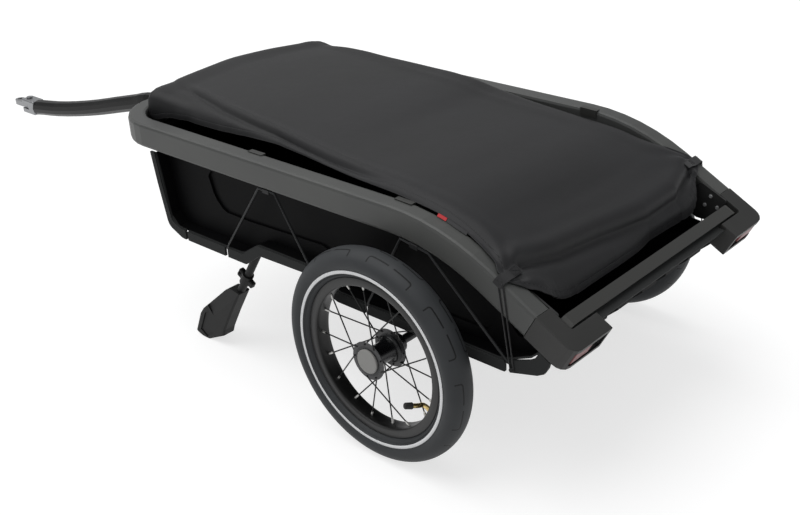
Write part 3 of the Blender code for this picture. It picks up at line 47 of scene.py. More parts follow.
# Places and sizes of the part's source, in metres: x from the axle and forward, z from the floor
WHEEL_R = 0.205
WHEEL_Y = 0.364
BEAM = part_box("axle_beam")
AXLE = Vector(((BEAM[0][0] + BEAM[1][0]) / 2, 0.0, WHEEL_R))
RAIL_TOP = 0.471
RAIL_W = 0.038
RAIL_OUTER_Y = 0.312
RAIL_FRONT_X = 0.8235
RAIL_CORNER_R = 0.122
BEND_X = 0.010
BEND_R = 0.450
SLOPE = math.radians(29)
COS, SIN = math.cos(SLOPE), math.sin(SLOPE)
BEND_END = (BEND_X - BEND_R * SIN, RAIL_TOP - BEND_R + BEND_R * COS)
SEAM_X = -0.302
SEAM_Z = BEND_END[1] + (SEAM_X - BEND_END[0]) * math.tan(SLOPE)
REAR_S = -0.075 / COS

# Studio: name, strength, spread in degrees and aim of each lamp, then the room and the floor
LAMPS = (("overhead_softbox", 1.54, 60, (-0.35, -0.20, -1.0)),
         ("side_softbox", 0.12, 40, (0.30, -0.9, -0.55)),
         ("front_softbox", 0.10, 45, (-0.733, 0.533, -0.423)))
ROOM_LIGHT = 0.42
FLOOR_SIZE = 20.0
FLOOR_BOUNCE = 0.40
FLOOR_PAINT = 0.46
FLOOR_GLOW = 0.68

# Camera as read from the photograph: turns in degrees about z, down and about the view
CAMERA_TURN = (-46.39, 26.81, -3.19)
CAMERA_PLACE = (-1.238, 1.594, 1.276)
CAMERA_LENS = 52.245
CAMERA_FILM = 36.0

# Wheel
SPOKES = 18
SPOKE_R = 0.0013
SPOKE_SWEEP = math.radians(40)
SPOKE_CIRCLE_R = 0.0325
NIPPLE_LEN = 0.012
NIPPLE_R = 0.0024
RIM_INNER_R = 0.137
RIM_BED_R = 0.1465
RIM_EDGE_R = 0.154
RIM_HALF_W = 0.0172
STRIPE_R = 0.1673
STRIPE_W = 0.006
SIDEWALL_Y = 0.025
FLANGE_R = 0.037
FLANGE_HALF_T = 0.0013
HUB_OUTER_FLANGE = 0.0245
HUB_INNER_FLANGE = -0.032
HUB_INNER_END = 0.3068
BARREL_R = 0.0205
BEARING_R = 0.014
BUTTON_R = 0.0234
BUTTON_FACE_Y = 0.3936
VALVE_LEN = 0.024
VALVE_ANGLE = math.radians(-150)
VALVE_BEND = math.radians(60)
VALVE_R = 0.0043
VALVE_CAP_SIDES = 32
WHEEL_STEPS = 180
HUB_STEPS = 120

# Grooves round the tyre's shoulder, drawn by the rubber's material as bumps with painted shade
GROOVES = 9
GROOVE_PHASE = 0.85
GROOVE_R = 0.195
GROOVE_HALF_LEN = 0.046
GROOVE_HALF_H = 0.0085
GROOVE_CORNER = 0.005
GROOVE_HALF_W = 0.0012
GROOVE_RISE = 0.008             # middle of a groove's outline above the shoulder
GROOVE_OPEN = (-0.0035, -0.0025)
GROOVE_PARTING = (0.0050, 0.0056)
TREAD_MIDDLE_R = 0.176
TREAD_SECTION_R = 0.029
TREAD_SHOULDER = 0.0275

# Pocket of the reflector in each rear cap: its middle below the rail's top and off the centre
# line, and where its depth starts and ends, ahead of the cap's rear face
POCKET_DOWN = 0.0255
POCKET_HALF_H = 0.0175
POCKET_Y = 0.25575
POCKET_HALF_W = 0.0450
POCKET_START = (0.0008, 0.0014)
POCKET_END = (0.0090, 0.0096)
POCKET_SOFT = 0.0006

# Where the colour changes on the rim, hub and hangers, and where painted light lies on the tub,
# from and to
RIM_FLANK_OUT = (0.0150, 0.0165)
HUB_FLANGE_R = (0.0285, 0.0292)
TUB_LIP_LIGHT_Y = (0.3055, 0.3065)
TUB_RIM_LIGHT_Z = (0.3150, 0.3200)
TUB_RIM_LIGHT_X = (-0.317, -0.313)
BOLT_Y = (0.2692, 0.2696)

# Cover
COVER_T = 0.0011
COVER_COLUMNS = 12
COVER_ROWS = 11
REAR_FINE_ROWS = 30             # fine rows at the rear, whose hem runs across the trailer
CORNER_SINK = -0.0012           # deepest fold at the rear corners, over the rail
CORNER_X, CORNER_Y = -0.14, 0.262
HEM_R = 0.0013
HEM_LIFT = 0.0006
SEAM_IN = 0.0115                # seam from the hem
STITCH_RATE = 1400.0            # turns of the stitches' wave, in radians a metre
TAB_S = 0.081
TAB_W = 0.018
TAB_T = 0.0016
LABEL_Y = 0.2790
LABEL_RISE = 0.0030
LABEL_W = 0.0062
LABEL_T = 0.0007


def ground(x, y, z):
    """Place given from the axle, in the model's frame."""
    return Vector((x + AXLE.x, y, z))


def add_object(name, data):
    made = bpy.data.objects.new(name, data)
    bpy.context.scene.collection.objects.link(made)
    return made


# Shader nodes

def feed(node, values):
    """Set a node's inputs, each to a plain value or linked from another node's socket."""
    for key, value in values.items():
        if isinstance(value, bpy.types.NodeSocket):
            node.id_data.links.new(value, node.inputs[key])
        else:
            node.inputs[key].default_value = value


def put(tree, kind, values=None, **settings):
    """Add a shader node with its properties and inputs."""
    made = tree.nodes.new("ShaderNode" + kind)
    for key, value in settings.items():
        setattr(made, key, value)
    feed(made, values or {})
    return made


def maths(operation, *values):
    """Math node in the tree of the sockets among its values; gives its output socket."""
    tree = next(v for v in values if isinstance(v, bpy.types.NodeSocket)).id_data
    return put(tree, "Math", dict(enumerate(values)), operation=operation).outputs[0]


def plus(a, b):
    return maths("ADD", a, b)


def minus(a, b):
    return maths("SUBTRACT", a, b)


def times(a, b):
    return maths("MULTIPLY", a, b)


def unsigned(value):
    return maths("ABSOLUTE", value)


def ramp(value, low, high):
    """Smooth step of a socket from 0 at low to 1 at high."""
    return put(value.id_data, "MapRange", {"Value": value, "From Min": low, "From Max": high},
               interpolation_type="SMOOTHSTEP").outputs["Result"]


def falling(value, low, high):
    """Smooth step of a socket from 1 at low to 0 at high."""
    return minus(1.0, ramp(value, low, high))


def object_place(tree):
    return put(tree, "TexCoord").outputs["Object"]


def uv_place(tree, layer):
    return put(tree, "UVMap", uv_map=layer).outputs["UV"]


def noise(place, scale, detail, roughness):
    return put(place.id_data, "TexNoise", {"Vector": place, "Scale": scale, "Detail": detail,
                                           "Roughness": roughness}).outputs["Fac"]


def axes(vector):
    """The x, y and z sockets of a vector socket."""
    parts = put(vector.id_data, "SeparateXYZ", {0: vector})
    return [parts.outputs[axis] for axis in "XYZ"]


def level(value):
    """Linear value of a screen level from 0 to 255."""
    value /= 255
    return value / 12.92 if value <= 0.04045 else ((value + 0.055) / 1.055) ** 2.4


def shade(levels):
    """Colour of three screen levels; a socket stays as it is."""
    if isinstance(levels, tuple):
        return tuple(level(value) for value in levels) + (1.0,)
    return levels


def blend_colour(factor, low, high):
    """Colour from low at 0 to high at 1; both are screen levels or sockets."""
    return put(factor.id_data, "Mix", {0: factor, 6: shade(low), 7: shade(high)},
               data_type="RGBA").outputs[2]


def blend_value(factor, low, high):
    """Number from low at 0 to high at 1."""
    return put(factor.id_data, "MapRange",
               {"Value": factor, "To Min": low, "To Max": high}).outputs["Result"]


def bump(height, strength, distance, under=None, **settings):
    """Normal of a surface raised by height, on top of the normal given as under."""
    values = {"Height": height, "Strength": strength, "Distance": distance}
    if under is not None:
        values["Normal"] = under
    return put(height.id_data, "Bump", values, **settings).outputs["Normal"]


# Camera and studio

def set_camera():
    yaw, pitch, roll = (math.radians(a) for a in CAMERA_TURN)
    look = Vector((math.cos(yaw) * math.cos(pitch), math.sin(yaw) * math.cos(pitch),
                   -math.sin(pitch)))
    right = look.cross(Vector((0, 0, 1))).normalized()
    up = right.cross(look)
    across = right * math.cos(roll) + up * math.sin(roll)
    upright = up * math.cos(roll) - right * math.sin(roll)
    data = bpy.data.cameras.new("photo_camera")
    data.lens = CAMERA_LENS
    data.sensor_width = CAMERA_FILM
    camera = add_object("photo_camera", data)
    turn = Matrix((across, upright, -look)).transposed().to_4x4()
    camera.matrix_world = Matrix.Translation(ground(*CAMERA_PLACE)) @ turn
    bpy.context.scene.camera = camera


def empty_tree(owner):
    """Node tree of a world or material, without nodes."""
    owner.use_nodes = True
    owner.node_tree.nodes.clear()
    return owner.node_tree


def set_world():
    """Even light all round, in front of a white background."""
    world = bpy.data.worlds.new("studio")
    bpy.context.scene.world = world
    tree = empty_tree(world)
    light = put(tree, "Background", {"Color": (0.98, 0.99, 1.0, 1), "Strength": ROOM_LIGHT})
    backdrop = put(tree, "Background", {"Color": (1, 1, 1, 1), "Strength": 1.0})
    path = put(tree, "LightPath")
    mix = put(tree, "MixShader", {0: path.outputs["Is Camera Ray"], 1: light.outputs[0],
                                  2: backdrop.outputs[0]})
    put(tree, "OutputWorld", {0: mix.outputs[0]})


def set_lamps():
    for name, strength, spread, aim in LAMPS:
        data = bpy.data.lights.new(name, "SUN")
        data.energy = strength
        data.angle = math.radians(spread)
        lamp = add_object(name, data)
        lamp.rotation_euler = Vector(aim).to_track_quat("-Z", "Y").to_euler()


def seen_directly(tree):
    """One for what the camera sees straight, in a mirror or through glass, otherwise zero."""
    path = put(tree, "LightPath").outputs
    first = maths("MAXIMUM", path["Is Camera Ray"], path["Is Glossy Ray"])
    return maths("MAXIMUM", first, path["Is Transmission Ray"])


def set_floor():
    """Plain floor that glows for the camera, so that it meets the background, and bounces less."""
    bm = bmesh.new()
    bmesh.ops.create_grid(bm, x_segments=1, y_segments=1, size=FLOOR_SIZE)
    mesh = bpy.data.meshes.new("floor")
    bm.to_mesh(mesh)
    bm.free()
    floor = add_object("floor", mesh)
    mat = bpy.data.materials.new("studio_floor")
    tree = empty_tree(mat)
    bounce = put(tree, "BsdfDiffuse", {"Color": (FLOOR_BOUNCE,) * 3 + (1,)})
    paint = put(tree, "BsdfDiffuse", {"Color": (FLOOR_PAINT,) * 3 + (1,)})
    glow = put(tree, "Emission", {"Color": (1, 1, 1, 1), "Strength": FLOOR_GLOW})
    both = put(tree, "AddShader", {0: paint.outputs[0], 1: glow.outputs[0]})
    mix = put(tree, "MixShader", {0: seen_directly(tree), 1: bounce.outputs[0], 2: both.outputs[0]})
    put(tree, "OutputMaterial", {0: mix.outputs[0]})
    mesh.materials.append(mat)


# Shader groups

def new_group(name, inputs, outputs):
    """Node group; gives its tree, the sockets of its inputs and its output node."""
    tree = bpy.data.node_groups.new(name, "ShaderNodeTree")
    for label, value in inputs.items():
        kind = "Vector" if isinstance(value, tuple) else "Float"
        socket = tree.interface.new_socket(label, in_out="INPUT", socket_type="NodeSocket" + kind)
        socket.default_value = value
    for label, kind in outputs.items():
        tree.interface.new_socket(label, in_out="OUTPUT", socket_type="NodeSocket" + kind)
    return tree, tree.nodes.new("NodeGroupInput").outputs, tree.nodes.new("NodeGroupOutput")


def make_drift():
    """Slow, faint change of shade over a surface."""
    tree, given, out = new_group("shade_drift", {"Scale": 8.0}, {"Factor": "Float"})
    cloud = noise(object_place(tree), given["Scale"], 3.0, 0.55)
    feed(out, {"Factor": ramp(cloud, 0.3, 0.7)})
    return tree


def make_grain():
    """Fine moulded or sprayed grain, as a normal and as a mask."""
    tree, given, out = new_group("fine_grain", {"Scale": 900.0, "Strength": 0.3},
                                 {"Normal": "Vector", "Mask": "Float"})
    pits = noise(object_place(tree), given["Scale"], 2.0, 0.6)
    feed(out, {"Normal": bump(pits, given["Strength"], 0.0002), "Mask": pits})
    return tree


def make_streaks():
    """Drawn metal: fine lines along one axis of the stretch."""
    tree, given, out = new_group("drawn_lines", {"Stretch": (6.0, 900.0, 900.0)},
                                 {"Normal": "Vector", "Mask": "Float"})
    scaled = put(tree, "VectorMath", {0: object_place(tree), 1: given["Stretch"]},
                 operation="MULTIPLY")
    lines = noise(scaled.outputs[0], 1.0, 3.0, 0.6)
    feed(out, {"Normal": bump(lines, 0.15, 0.0001), "Mask": lines})
    return tree


def make_weave():
    """Plain weave from the cloth's own flat coordinates, threads per metre set by Count."""
    tree, given, out = new_group("plain_weave", {"Count": 1400.0}, {"Height": "Float"})
    waves = []
    for place in axes(uv_place(tree, "flat"))[:2]:
        angle = times(place, given["Count"])
        waves.append(maths("SINE", times(angle, math.pi)))
    feed(out, {"Height": maths("MULTIPLY_ADD", times(*waves), 0.5, 0.5)})
    return tree


def make_polar():
    """Distance from the axle line, angle in turns and distance from the wheel plane."""
    tree, _, out = new_group("wheel_place", {},
                             {"Radius": "Float", "Turn": "Float", "Offset": "Float"})
    shift = put(tree, "VectorMath", {0: object_place(tree), 1: AXLE}, operation="SUBTRACT")
    x, y, z = axes(shift.outputs[0])
    square = plus(times(x, x), times(z, z))
    feed(out, {"Radius": maths("SQRT", square),
               "Turn": maths("DIVIDE", maths("ARCTAN2", z, x), 2 * math.pi),
               "Offset": minus(unsigned(y), WHEEL_Y)})
    return tree


GROUPS = {"drift": make_drift(), "grain": make_grain(), "streaks": make_streaks(),
          "weave": make_weave(), "polar": make_polar()}


def use(tree, group, values=None):
    """Put a group in a tree; gives its output sockets."""
    made = tree.nodes.new("ShaderNodeGroup")
    made.node_tree = GROUPS[group]
    feed(made, values or {})
    return made.outputs


# Finishes

def new_material(name, metallic=0.0, specular=0.5, sheen=0.0):
    """Material with a Principled shader; gives the material and its tree."""
    mat = bpy.data.materials.new(name)
    mat.use_nodes = True
    feed(mat.node_tree.nodes["Principled BSDF"],
         {"Metallic": metallic, "Specular IOR Level": specular, "Sheen Weight": sheen})
    return mat, mat.node_tree


def painted(mat, colour, roughness, normal):
    """The material with these fed to its shader."""
    feed(mat.node_tree.nodes["Principled BSDF"],
         {"Base Color": colour, "Roughness": roughness, "Normal": normal})
    return mat


def grainy(mat, colour, rough, scale, strength):
    """The material in this colour, with fine grain that also varies its roughness."""
    grain = use(mat.node_tree, "grain", {"Scale": scale, "Strength": strength})
    return painted(mat, colour, blend_value(grain["Mask"], *rough), grain["Normal"])


def drifting(tree, low, high, scale=6.0):
    """Colour that drifts slowly between two near shades."""
    return blend_colour(use(tree, "drift", {"Scale": scale})["Factor"], low, high)


def grained(name, low, high, rough, scale, strength, specular=0.5):
    """Moulded plastic or powder coat: fine grain and a slow drift between two near colours."""
    mat, tree = new_material(name, specular=specular)
    return grainy(mat, drifting(tree, low, high), rough, scale, strength)


def drawn(name, low, high, metallic, rough=(0.3, 0.45), stretch=(6.0, 900.0, 900.0), specular=0.5):
    """Drawn or brushed metal with lines along one axis."""
    mat, tree = new_material(name, metallic, specular)
    lines = use(tree, "streaks", {"Stretch": stretch})
    return painted(mat, blend_colour(lines["Mask"], low, high), blend_value(lines["Mask"], *rough),
                   lines["Normal"])


def line_mask(distance, half_width, soft=0.0003):
    """One on a line where the distance is near zero."""
    return falling(unsigned(distance), half_width, half_width + soft)


def box_distance(u, v, half_u, half_v, corner):
    """Signed distance to a rounded rectangle about the origin of u and v."""
    across = minus(unsigned(u), half_u - corner)
    along = minus(unsigned(v), half_v - corner)
    out_u = maths("MAXIMUM", across, 0.0)
    out_v = maths("MAXIMUM", along, 0.0)
    outside = maths("SQRT", plus(times(out_u, out_u), times(out_v, out_v)))
    inside = maths("MINIMUM", maths("MAXIMUM", across, along), 0.0)
    return minus(plus(outside, inside), corner)


def cover_cloth():
    """Coated cloth: fine weave, faint creases and a stitched seam along the hem."""
    mat, tree = new_material("coated_cover_cloth", specular=0.35)
    weave = use(tree, "weave", {"Count": 1700.0})["Height"]
    from_hem, along = axes(uv_place(tree, "hem"))[:2]
    seam = line_mask(minus(from_hem, SEAM_IN), 0.0007, 0.0006)
    stitch = times(seam, ramp(maths("SINE", times(along, STITCH_RATE)), -0.2, 0.2))
    cloth = drifting(tree, (33, 33, 34), (36, 36, 38), 3.0)
    cloth = blend_colour(seam, cloth, (20, 20, 21))
    cloth = blend_colour(stitch, cloth, (48, 48, 50))
    normal = bump(noise(uv_place(tree, "flat"), 11.0, 4.0, 0.6), 0.35, 0.003)
    normal = bump(weave, 0.2, 0.0002, normal)
    normal = bump(seam, 0.6, 0.0006, normal, invert=True)
    return painted(mat, cloth, blend_value(weave, 0.62, 0.5), normal)


def webbing_cloth(name, low, high, count):
    """Coarse weave of the tabs and of the elastic loops."""
    mat, tree = new_material(name, sheen=0.2)
    weave = use(tree, "weave", {"Count": count})["Height"]
    return painted(mat, blend_colour(weave, low, high), blend_value(weave, 0.9, 0.75),
                   bump(weave, 0.5, 0.0003))


def tyre_rubber():
    """Rubber with long grooves, bent to the rim at their ends and parted in the middle, with shade
    painted in them.
    """
    mat, tree = new_material("tyre_rubber", specular=0.35)
    polar = use(tree, "polar")
    bow = maths("ARCTAN2", unsigned(polar["Offset"]), minus(polar["Radius"], TREAD_MIDDLE_R))
    down = minus(times(bow, TREAD_SECTION_R), TREAD_SHOULDER)
    share = maths("FRACT", maths("MULTIPLY_ADD", polar["Turn"], float(GROOVES), GROOVE_PHASE))
    along = times(minus(share, 0.5), GROOVE_R * 2 * math.pi / GROOVES)
    outline = box_distance(along, plus(down, GROOVE_RISE), GROOVE_HALF_LEN, GROOVE_HALF_H,
                           GROOVE_CORNER)
    open_side = falling(down, *GROOVE_OPEN)
    parted = ramp(unsigned(along), *GROOVE_PARTING)
    groove_and_shade = times(line_mask(outline, GROOVE_HALF_W), times(open_side, parted))
    rubber = drifting(tree, (52, 54, 56), (59, 61, 63), 9.0)
    grain = use(tree, "grain", {"Scale": 1200.0, "Strength": 0.3})
    # Painted shade: the grooves darkened, as shade falls in them
    return painted(mat, blend_colour(groove_and_shade, rubber, (10, 11, 12)),
                   blend_value(grain["Mask"], 0.5, 0.7),
                   bump(groove_and_shade, 0.8, 0.001, grain["Normal"], invert=True))


def rim_finish():
    """Black anodised rim, turned paler on its flanks."""
    mat, tree = new_material("anodised_rim", 0.3)
    flank = ramp(unsigned(use(tree, "polar")["Offset"]), *RIM_FLANK_OUT)
    return grainy(mat, blend_colour(flank, (22, 22, 22), (50, 50, 50)), (0.32, 0.48), 700.0, 0.12)


def hub_finish():
    """Glossy black barrel between satin grey flanges."""
    mat, tree = new_material("anodised_hub", 0.3)
    flange = ramp(use(tree, "polar")["Radius"], *HUB_FLANGE_R)
    return grainy(mat, blend_colour(flange, (20, 21, 23), (54, 54, 55)), (0.2, 0.34), 500.0, 0.08)


def tub_finish():
    """Near black moulding, with painted light greying its side lips' outer faces and its rear rim.
    """
    mat, tree = new_material("tub_moulding", specular=0.08)
    x, y, z = axes(object_place(tree))
    # Painted light: the side lips' outer faces and the up-facing rear rim turned grey, as where
    # light falls on them
    lit_lip = ramp(unsigned(y), *TUB_LIP_LIGHT_Y)
    rear = times(ramp(z, *TUB_RIM_LIGHT_Z), falling(x, *(AXLE.x + edge for edge in TUB_RIM_LIGHT_X)))
    dark = drifting(tree, (6, 6, 7), (10, 10, 11))
    return grainy(mat, blend_colour(maths("MAXIMUM", lit_lip, rear), dark, (52, 53, 53)),
                  (0.5, 0.66), 800.0, 0.3)


def cap_finish():
    """Dark moulding of the rear caps, with painted shade making the reflector's recess black."""
    mat, tree = new_material("cap_moulding", specular=0.4)
    x, y, z = axes(object_place(tree))
    x, z = minus(x, AXLE.x + SEAM_X), minus(z, SEAM_Z)
    ahead = plus(times(x, COS), times(z, SIN))
    down = minus(times(x, SIN), times(z, COS))
    depth = times(ramp(ahead, *(REAR_S + edge for edge in POCKET_START)),
                  falling(ahead, *(REAR_S + edge for edge in POCKET_END)))
    spans = []
    for value, middle, half in ((down, POCKET_DOWN, POCKET_HALF_H),
                                (unsigned(y), POCKET_Y, POCKET_HALF_W)):
        inside = minus(half, unsigned(minus(value, middle)))
        spans.append(ramp(inside, 0.0, POCKET_SOFT))
    # Painted shade: the reflector's recess made near black, as shade falls in it
    pocket_shade = times(depth, times(*spans))
    body = drifting(tree, (42, 42, 41), (48, 48, 47))
    return grainy(mat, blend_colour(pocket_shade, body, (12, 12, 12)), (0.42, 0.55), 1100.0, 0.25)


def hanger_finish():
    """Grey plates inside the rails with bright bolt heads."""
    mat, tree = new_material("hanger_plate", 0.2)
    bolt = falling(unsigned(axes(object_place(tree))[1]), *BOLT_Y)
    lines = use(tree, "streaks")
    plate = blend_colour(lines["Mask"], (44, 44, 44), (52, 52, 52))
    return painted(mat, blend_colour(bolt, plate, (150, 151, 152)),
                   blend_value(lines["Mask"], 0.35, 0.5), lines["Normal"])


def lens_finish():
    """Red reflector with a prism grid behind its smooth face."""
    mat, tree = new_material("reflector_red", specular=0.3)
    cells = put(tree, "TexVoronoi", {"Vector": object_place(tree), "Scale": 420.0,
                                     "Randomness": 0.0}).outputs["Distance"]
    red = blend_colour(ramp(cells, 0.1, 0.6), (158, 62, 64), (118, 38, 42))
    return painted(mat, red, 0.35, bump(cells, 0.35, 0.0004))


def band_finish():
    """Reflective band: pale glass bead fabric."""
    mat, tree = new_material("reflective_band", 0.1)
    beads = put(tree, "TexVoronoi", {"Vector": object_place(tree),
                                     "Scale": 1600.0}).outputs["Distance"]
    return painted(mat, blend_colour(beads, (254, 254, 254), (240, 241, 243)), 0.4,
                   bump(beads, 0.2, 0.0001))


FINISH = {
    "rail": grained("rail_powder_coat", (69, 70, 69), (75, 76, 74), (0.40, 0.52), 1300.0, 0.18),
    "cap": cap_finish(),
    "bar": drawn("cross_bar_satin", (48, 48, 46), (55, 55, 53), 0.0, (0.36, 0.5),
                 (900.0, 5.0, 900.0)),
    "tub": tub_finish(),
    "hanger": hanger_finish(),
    "stand": grained("stand_moulding", (22, 22, 22), (28, 28, 28), (0.44, 0.58), 900.0, 0.25,
                     specular=0.2),
    "button": grained("release_button", (150, 149, 146), (162, 161, 158), (0.4, 0.5), 900.0, 0.15),
    "rubber": grained("black_rubber", (20, 20, 21), (26, 26, 27), (0.6, 0.75), 900.0, 0.2),
    "rod": drawn("stay_rod", (28, 29, 30), (38, 39, 40), 0.1, specular=0.35),
    "drawbar": drawn("drawbar_tube", (17, 17, 17), (23, 23, 23), 0.0, (0.24, 0.34), specular=0.14),
    "steel": drawn("zinc_steel", (140, 141, 143), (160, 161, 163), 1.0),
    "nipple": drawn("bright_nipple", (196, 195, 192), (214, 213, 210), 0.7, (0.25, 0.35)),
    "spoke": drawn("black_spoke", (14, 14, 14), (20, 20, 20), 0.3, (0.3, 0.4)),
    "brass": drawn("valve_brass", (216, 188, 122), (236, 210, 146), 1.0, (0.22, 0.32)),
    "cover": cover_cloth(),
    "webbing": webbing_cloth("tab_webbing", (18, 18, 19), (34, 34, 36), 700.0),
    "elastic": webbing_cloth("elastic_braid", (14, 14, 15), (30, 30, 31), 900.0),
    "thread": grained("stitch_thread", (40, 40, 42), (48, 48, 50), (0.7, 0.85), 2500.0, 0.3),
    "red_label": grained("red_label", (176, 26, 34), (188, 34, 40), (0.6, 0.7), 2500.0, 0.2),
    "dark_label": grained("dark_label", (30, 30, 32), (36, 36, 38), (0.6, 0.7), 2500.0, 0.2),
    "tyre": tyre_rubber(), "rim": rim_finish(), "hub": hub_finish(), "lens": lens_finish(),
    "band": band_finish(),
}

FINISHED_NODES = {
    "rail": "top_rail drawbar_socket", "cap": "rear_cap", "lens": "reflector", "tub": "tub",
    "bar": "cross_bar front_clip rear_clip", "hanger": "rear_hanger", "drawbar": "drawbar",
    "rod": "front_stay rear_stay axle_beam axle_bracket",
    "rubber": "front_stay_saddle rear_stay_saddle valve_cap",
    "tyre": "tyre", "band": "reflective_band", "rim": "rim", "hub": "hub", "brass": "valve",
    "steel": "outer_bearing inner_bearing axle_pin drawbar_lock_pin hitch_fork hitch_tongue "
             "hitch_pin stand_pin",
    "button": "release_button", "stand": "stand_bracket stand_leg stand_collar stand_foot",
    "cover": "cover", "webbing": "cover_tab", "elastic": "elastic_loop",
}
NODE_FINISH = {node: finish for finish, nodes in FINISHED_NODES.items() for node in nodes.split()}


def dress_nodes():
    for name, obj in NODES.items():
        base = name.removesuffix("_left").removesuffix("_right")
        for slot in obj.material_slots:
            slot.material = FINISH[NODE_FINISH[base]]


# Pieces

def settle(piece, body, node=None):
    """Attach a piece to its body and hide the node that it stands for, if any."""
    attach(piece, body)
    if node:
        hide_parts(node)
    return piece


def add_mesh(name, verts, faces, finish, sharp=None):
    """Mesh object, smooth but for edges bent by more than sharp degrees, or flat without it."""
    mesh = bpy.data.meshes.new(name)
    mesh.from_pydata(verts, [], faces)
    bm = bmesh.new()
    bm.from_mesh(mesh)
    bmesh.ops.remove_doubles(bm, verts=bm.verts, dist=1e-6)
    bmesh.ops.recalc_face_normals(bm, faces=bm.faces)
    bm.to_mesh(mesh)
    bm.free()
    made = add_object(name, mesh)
    mesh.materials.append(FINISH[finish])
    if sharp:
        mesh.shade_smooth()
        mesh.set_sharp_from_angle(angle=math.radians(sharp))
    return made


def ring_faces(rings, count):
    """Faces between rings of count vertices each, given as the number of the first of each."""
    return [(a + k, a + (k + 1) % count, b + (k + 1) % count, b + k)
            for a, b in zip(rings, rings[1:]) for k in range(count)]


def tube_piece(name, points, radius, finish, cyclic=False, resolution=3):
    """Round tube through places."""
    curve = bpy.data.curves.new(name, "CURVE")
    curve.dimensions = "3D"
    curve.bevel_depth = radius
    curve.bevel_resolution = resolution
    curve.use_fill_caps = not cyclic
    spline = curve.splines.new("POLY")
    spline.points.add(len(points) - 1)
    spline.use_cyclic_u = cyclic
    for point, place in zip(spline.points, points):
        point.co = (*place, 1)
    made = add_object(name, curve)
    curve.materials.append(FINISH[finish])
    return made


def through(points, steps):
    """Smooth curve through points, with the given number of steps in all spans or in each."""
    if isinstance(steps, int):
        steps = [steps] * (len(points) - 1)
    spans = [max((b - a).length, 1e-6) for a, b in zip(points, points[1:])]
    slopes = [(b - a) / span for a, b, span in zip(points, points[1:], spans)]
    tangents = [slopes[0]]
    for a, b, left, right in zip(slopes, slopes[1:], spans, spans[1:]):
        tangents.append((a * right + b * left) / (left + right))
    tangents.append(slopes[-1])
    line = []
    for i, (start, end) in enumerate(zip(points, points[1:])):
        for k in range(steps[i]):
            t = k / steps[i]
            line.append(start * ((1 + 2 * t) * (1 - t) ** 2)
                        + tangents[i] * (spans[i] * t * (1 - t) ** 2)
                        + end * (t * t * (3 - 2 * t))
                        + tangents[i + 1] * (spans[i] * t * t * (t - 1)))
    return line + [points[-1]]


# Cover

def from_tenths(*rows):
    """Table in metres from one in tenths of a millimetre."""
    return [[value / 10000 for value in row] for row in rows]


# Edge of the cover along each side, in tenths of a millimetre: x, then the distance from the centre
# line and the height above the rail's top of the hem, of the middle of the skirt, of its upper edge
# and of the shoulder
LEFT_EDGE = from_tenths(
    (-2050, 2890, 25, 2850, 27, 2790, 45, 2600, 120),
    (-1800, 2830, 25, 2790, 30, 2730, 55, 2580, 120),
    (-1400, 2765, 25, 2730, 35, 2680, 65, 2560, 120),
    (-800, 2715, 20, 2700, 35, 2660, 65, 2550, 120),
    (0, 2700, 15, 2685, 35, 2650, 70, 2540, 125),
    (1000, 2640, 20, 2630, 45, 2600, 80, 2510, 130),
    (2000, 2540, 35, 2530, 60, 2505, 100, 2440, 145),
    (2920, 2430, 40, 2425, 80, 2400, 120, 2340, 180),
    (3900, 2310, 40, 2295, 90, 2270, 140, 2200, 225),
    (4790, 2310, -10, 2285, 70, 2250, 145, 2120, 265),
    (5630, 2315, -60, 2280, 40, 2220, 140, 2000, 285),
    (6660, 2255, -95, 2240, 10, 2180, 140, 1740, 290),
    (7200, 2320, -125, 2310, 10, 2270, 190, 1610, 290),
    (7750, 2430, -160, 2425, 30, 2400, 215, 1530, 285))
RIGHT_EDGE = from_tenths(
    (-2050, 2880, 25, 2840, 26, 2780, 40, 2600, 100),
    (-1800, 2710, 20, 2695, 25, 2660, 35, 2540, 60),
    (-1400, 2660, -200, 2620, -120, 2560, -40, 2450, -10),
    (-300, 2620, -300, 2560, -200, 2490, -120, 2380, -80),
    (1000, 2620, -260, 2580, -160, 2530, -70, 2430, -10),
    (2100, 2660, -140, 2640, -40, 2610, 20, 2520, 90),
    (2900, 2640, -100, 2620, 20, 2580, 140, 2480, 240),
    (4500, 2580, -100, 2565, 40, 2540, 160, 2440, 275),
    (6660, 2560, -120, 2555, 30, 2540, 165, 2420, 278),
    (7750, 2537, -160, 2537, 30, 2500, 170, 2320, 235))

# Foremost edge and fold behind the load, as (y, x)
FRONT_X = 0.775
COVER_FRONT = [(-0.2537, 0.7451), (-0.2347, 0.7596), (-0.1312, 0.7868), (-0.0263, 0.8071),
               (0.1169, 0.7944), (0.1850, 0.7800), (0.2415, 0.7600)]
REAR_FOLD = [(-0.300, -0.222), (-0.276, -0.238), (-0.172, -0.272), (-0.067, -0.274),
             (0.065, -0.256), (0.168, -0.246), (0.211, -0.236), (0.300, -0.222)]

# Hem of the rear flap on the near and on the far half: distance from the centre line, x and height
# above the rail's top
NEAR_HEM = from_tenths((2050, -2860, -315), (2594, -2810, 25), (2860, -2540, 25),
                       (3000, -2380, 25))
FAR_HEM = from_tenths((2050, -2860, -315), (2400, -2720, -110), (2594, -2590, 55),
                      (2860, -2460, 40), (3000, -2380, 25))


def ease(low, high, value):
    """Smooth step of a number from 0 at low to 1 at high."""
    t = max(0.0, min(1.0, (value - low) / (high - low)))
    return t * t * (3 - 2 * t)


def bell(value, width):
    return math.exp(-(value / width) ** 2)


def between(table, x):
    """Values at x of a table whose rows start with their x, rising, straight from row to row."""
    if x <= table[0][0]:
        return table[0][1:]
    for low, high in zip(table, table[1:]):
        if x <= high[0]:
            return [a + (b - a) * (x - low[0]) / (high[0] - low[0])
                    for a, b in zip(low[1:], high[1:])]
    return table[-1][1:]


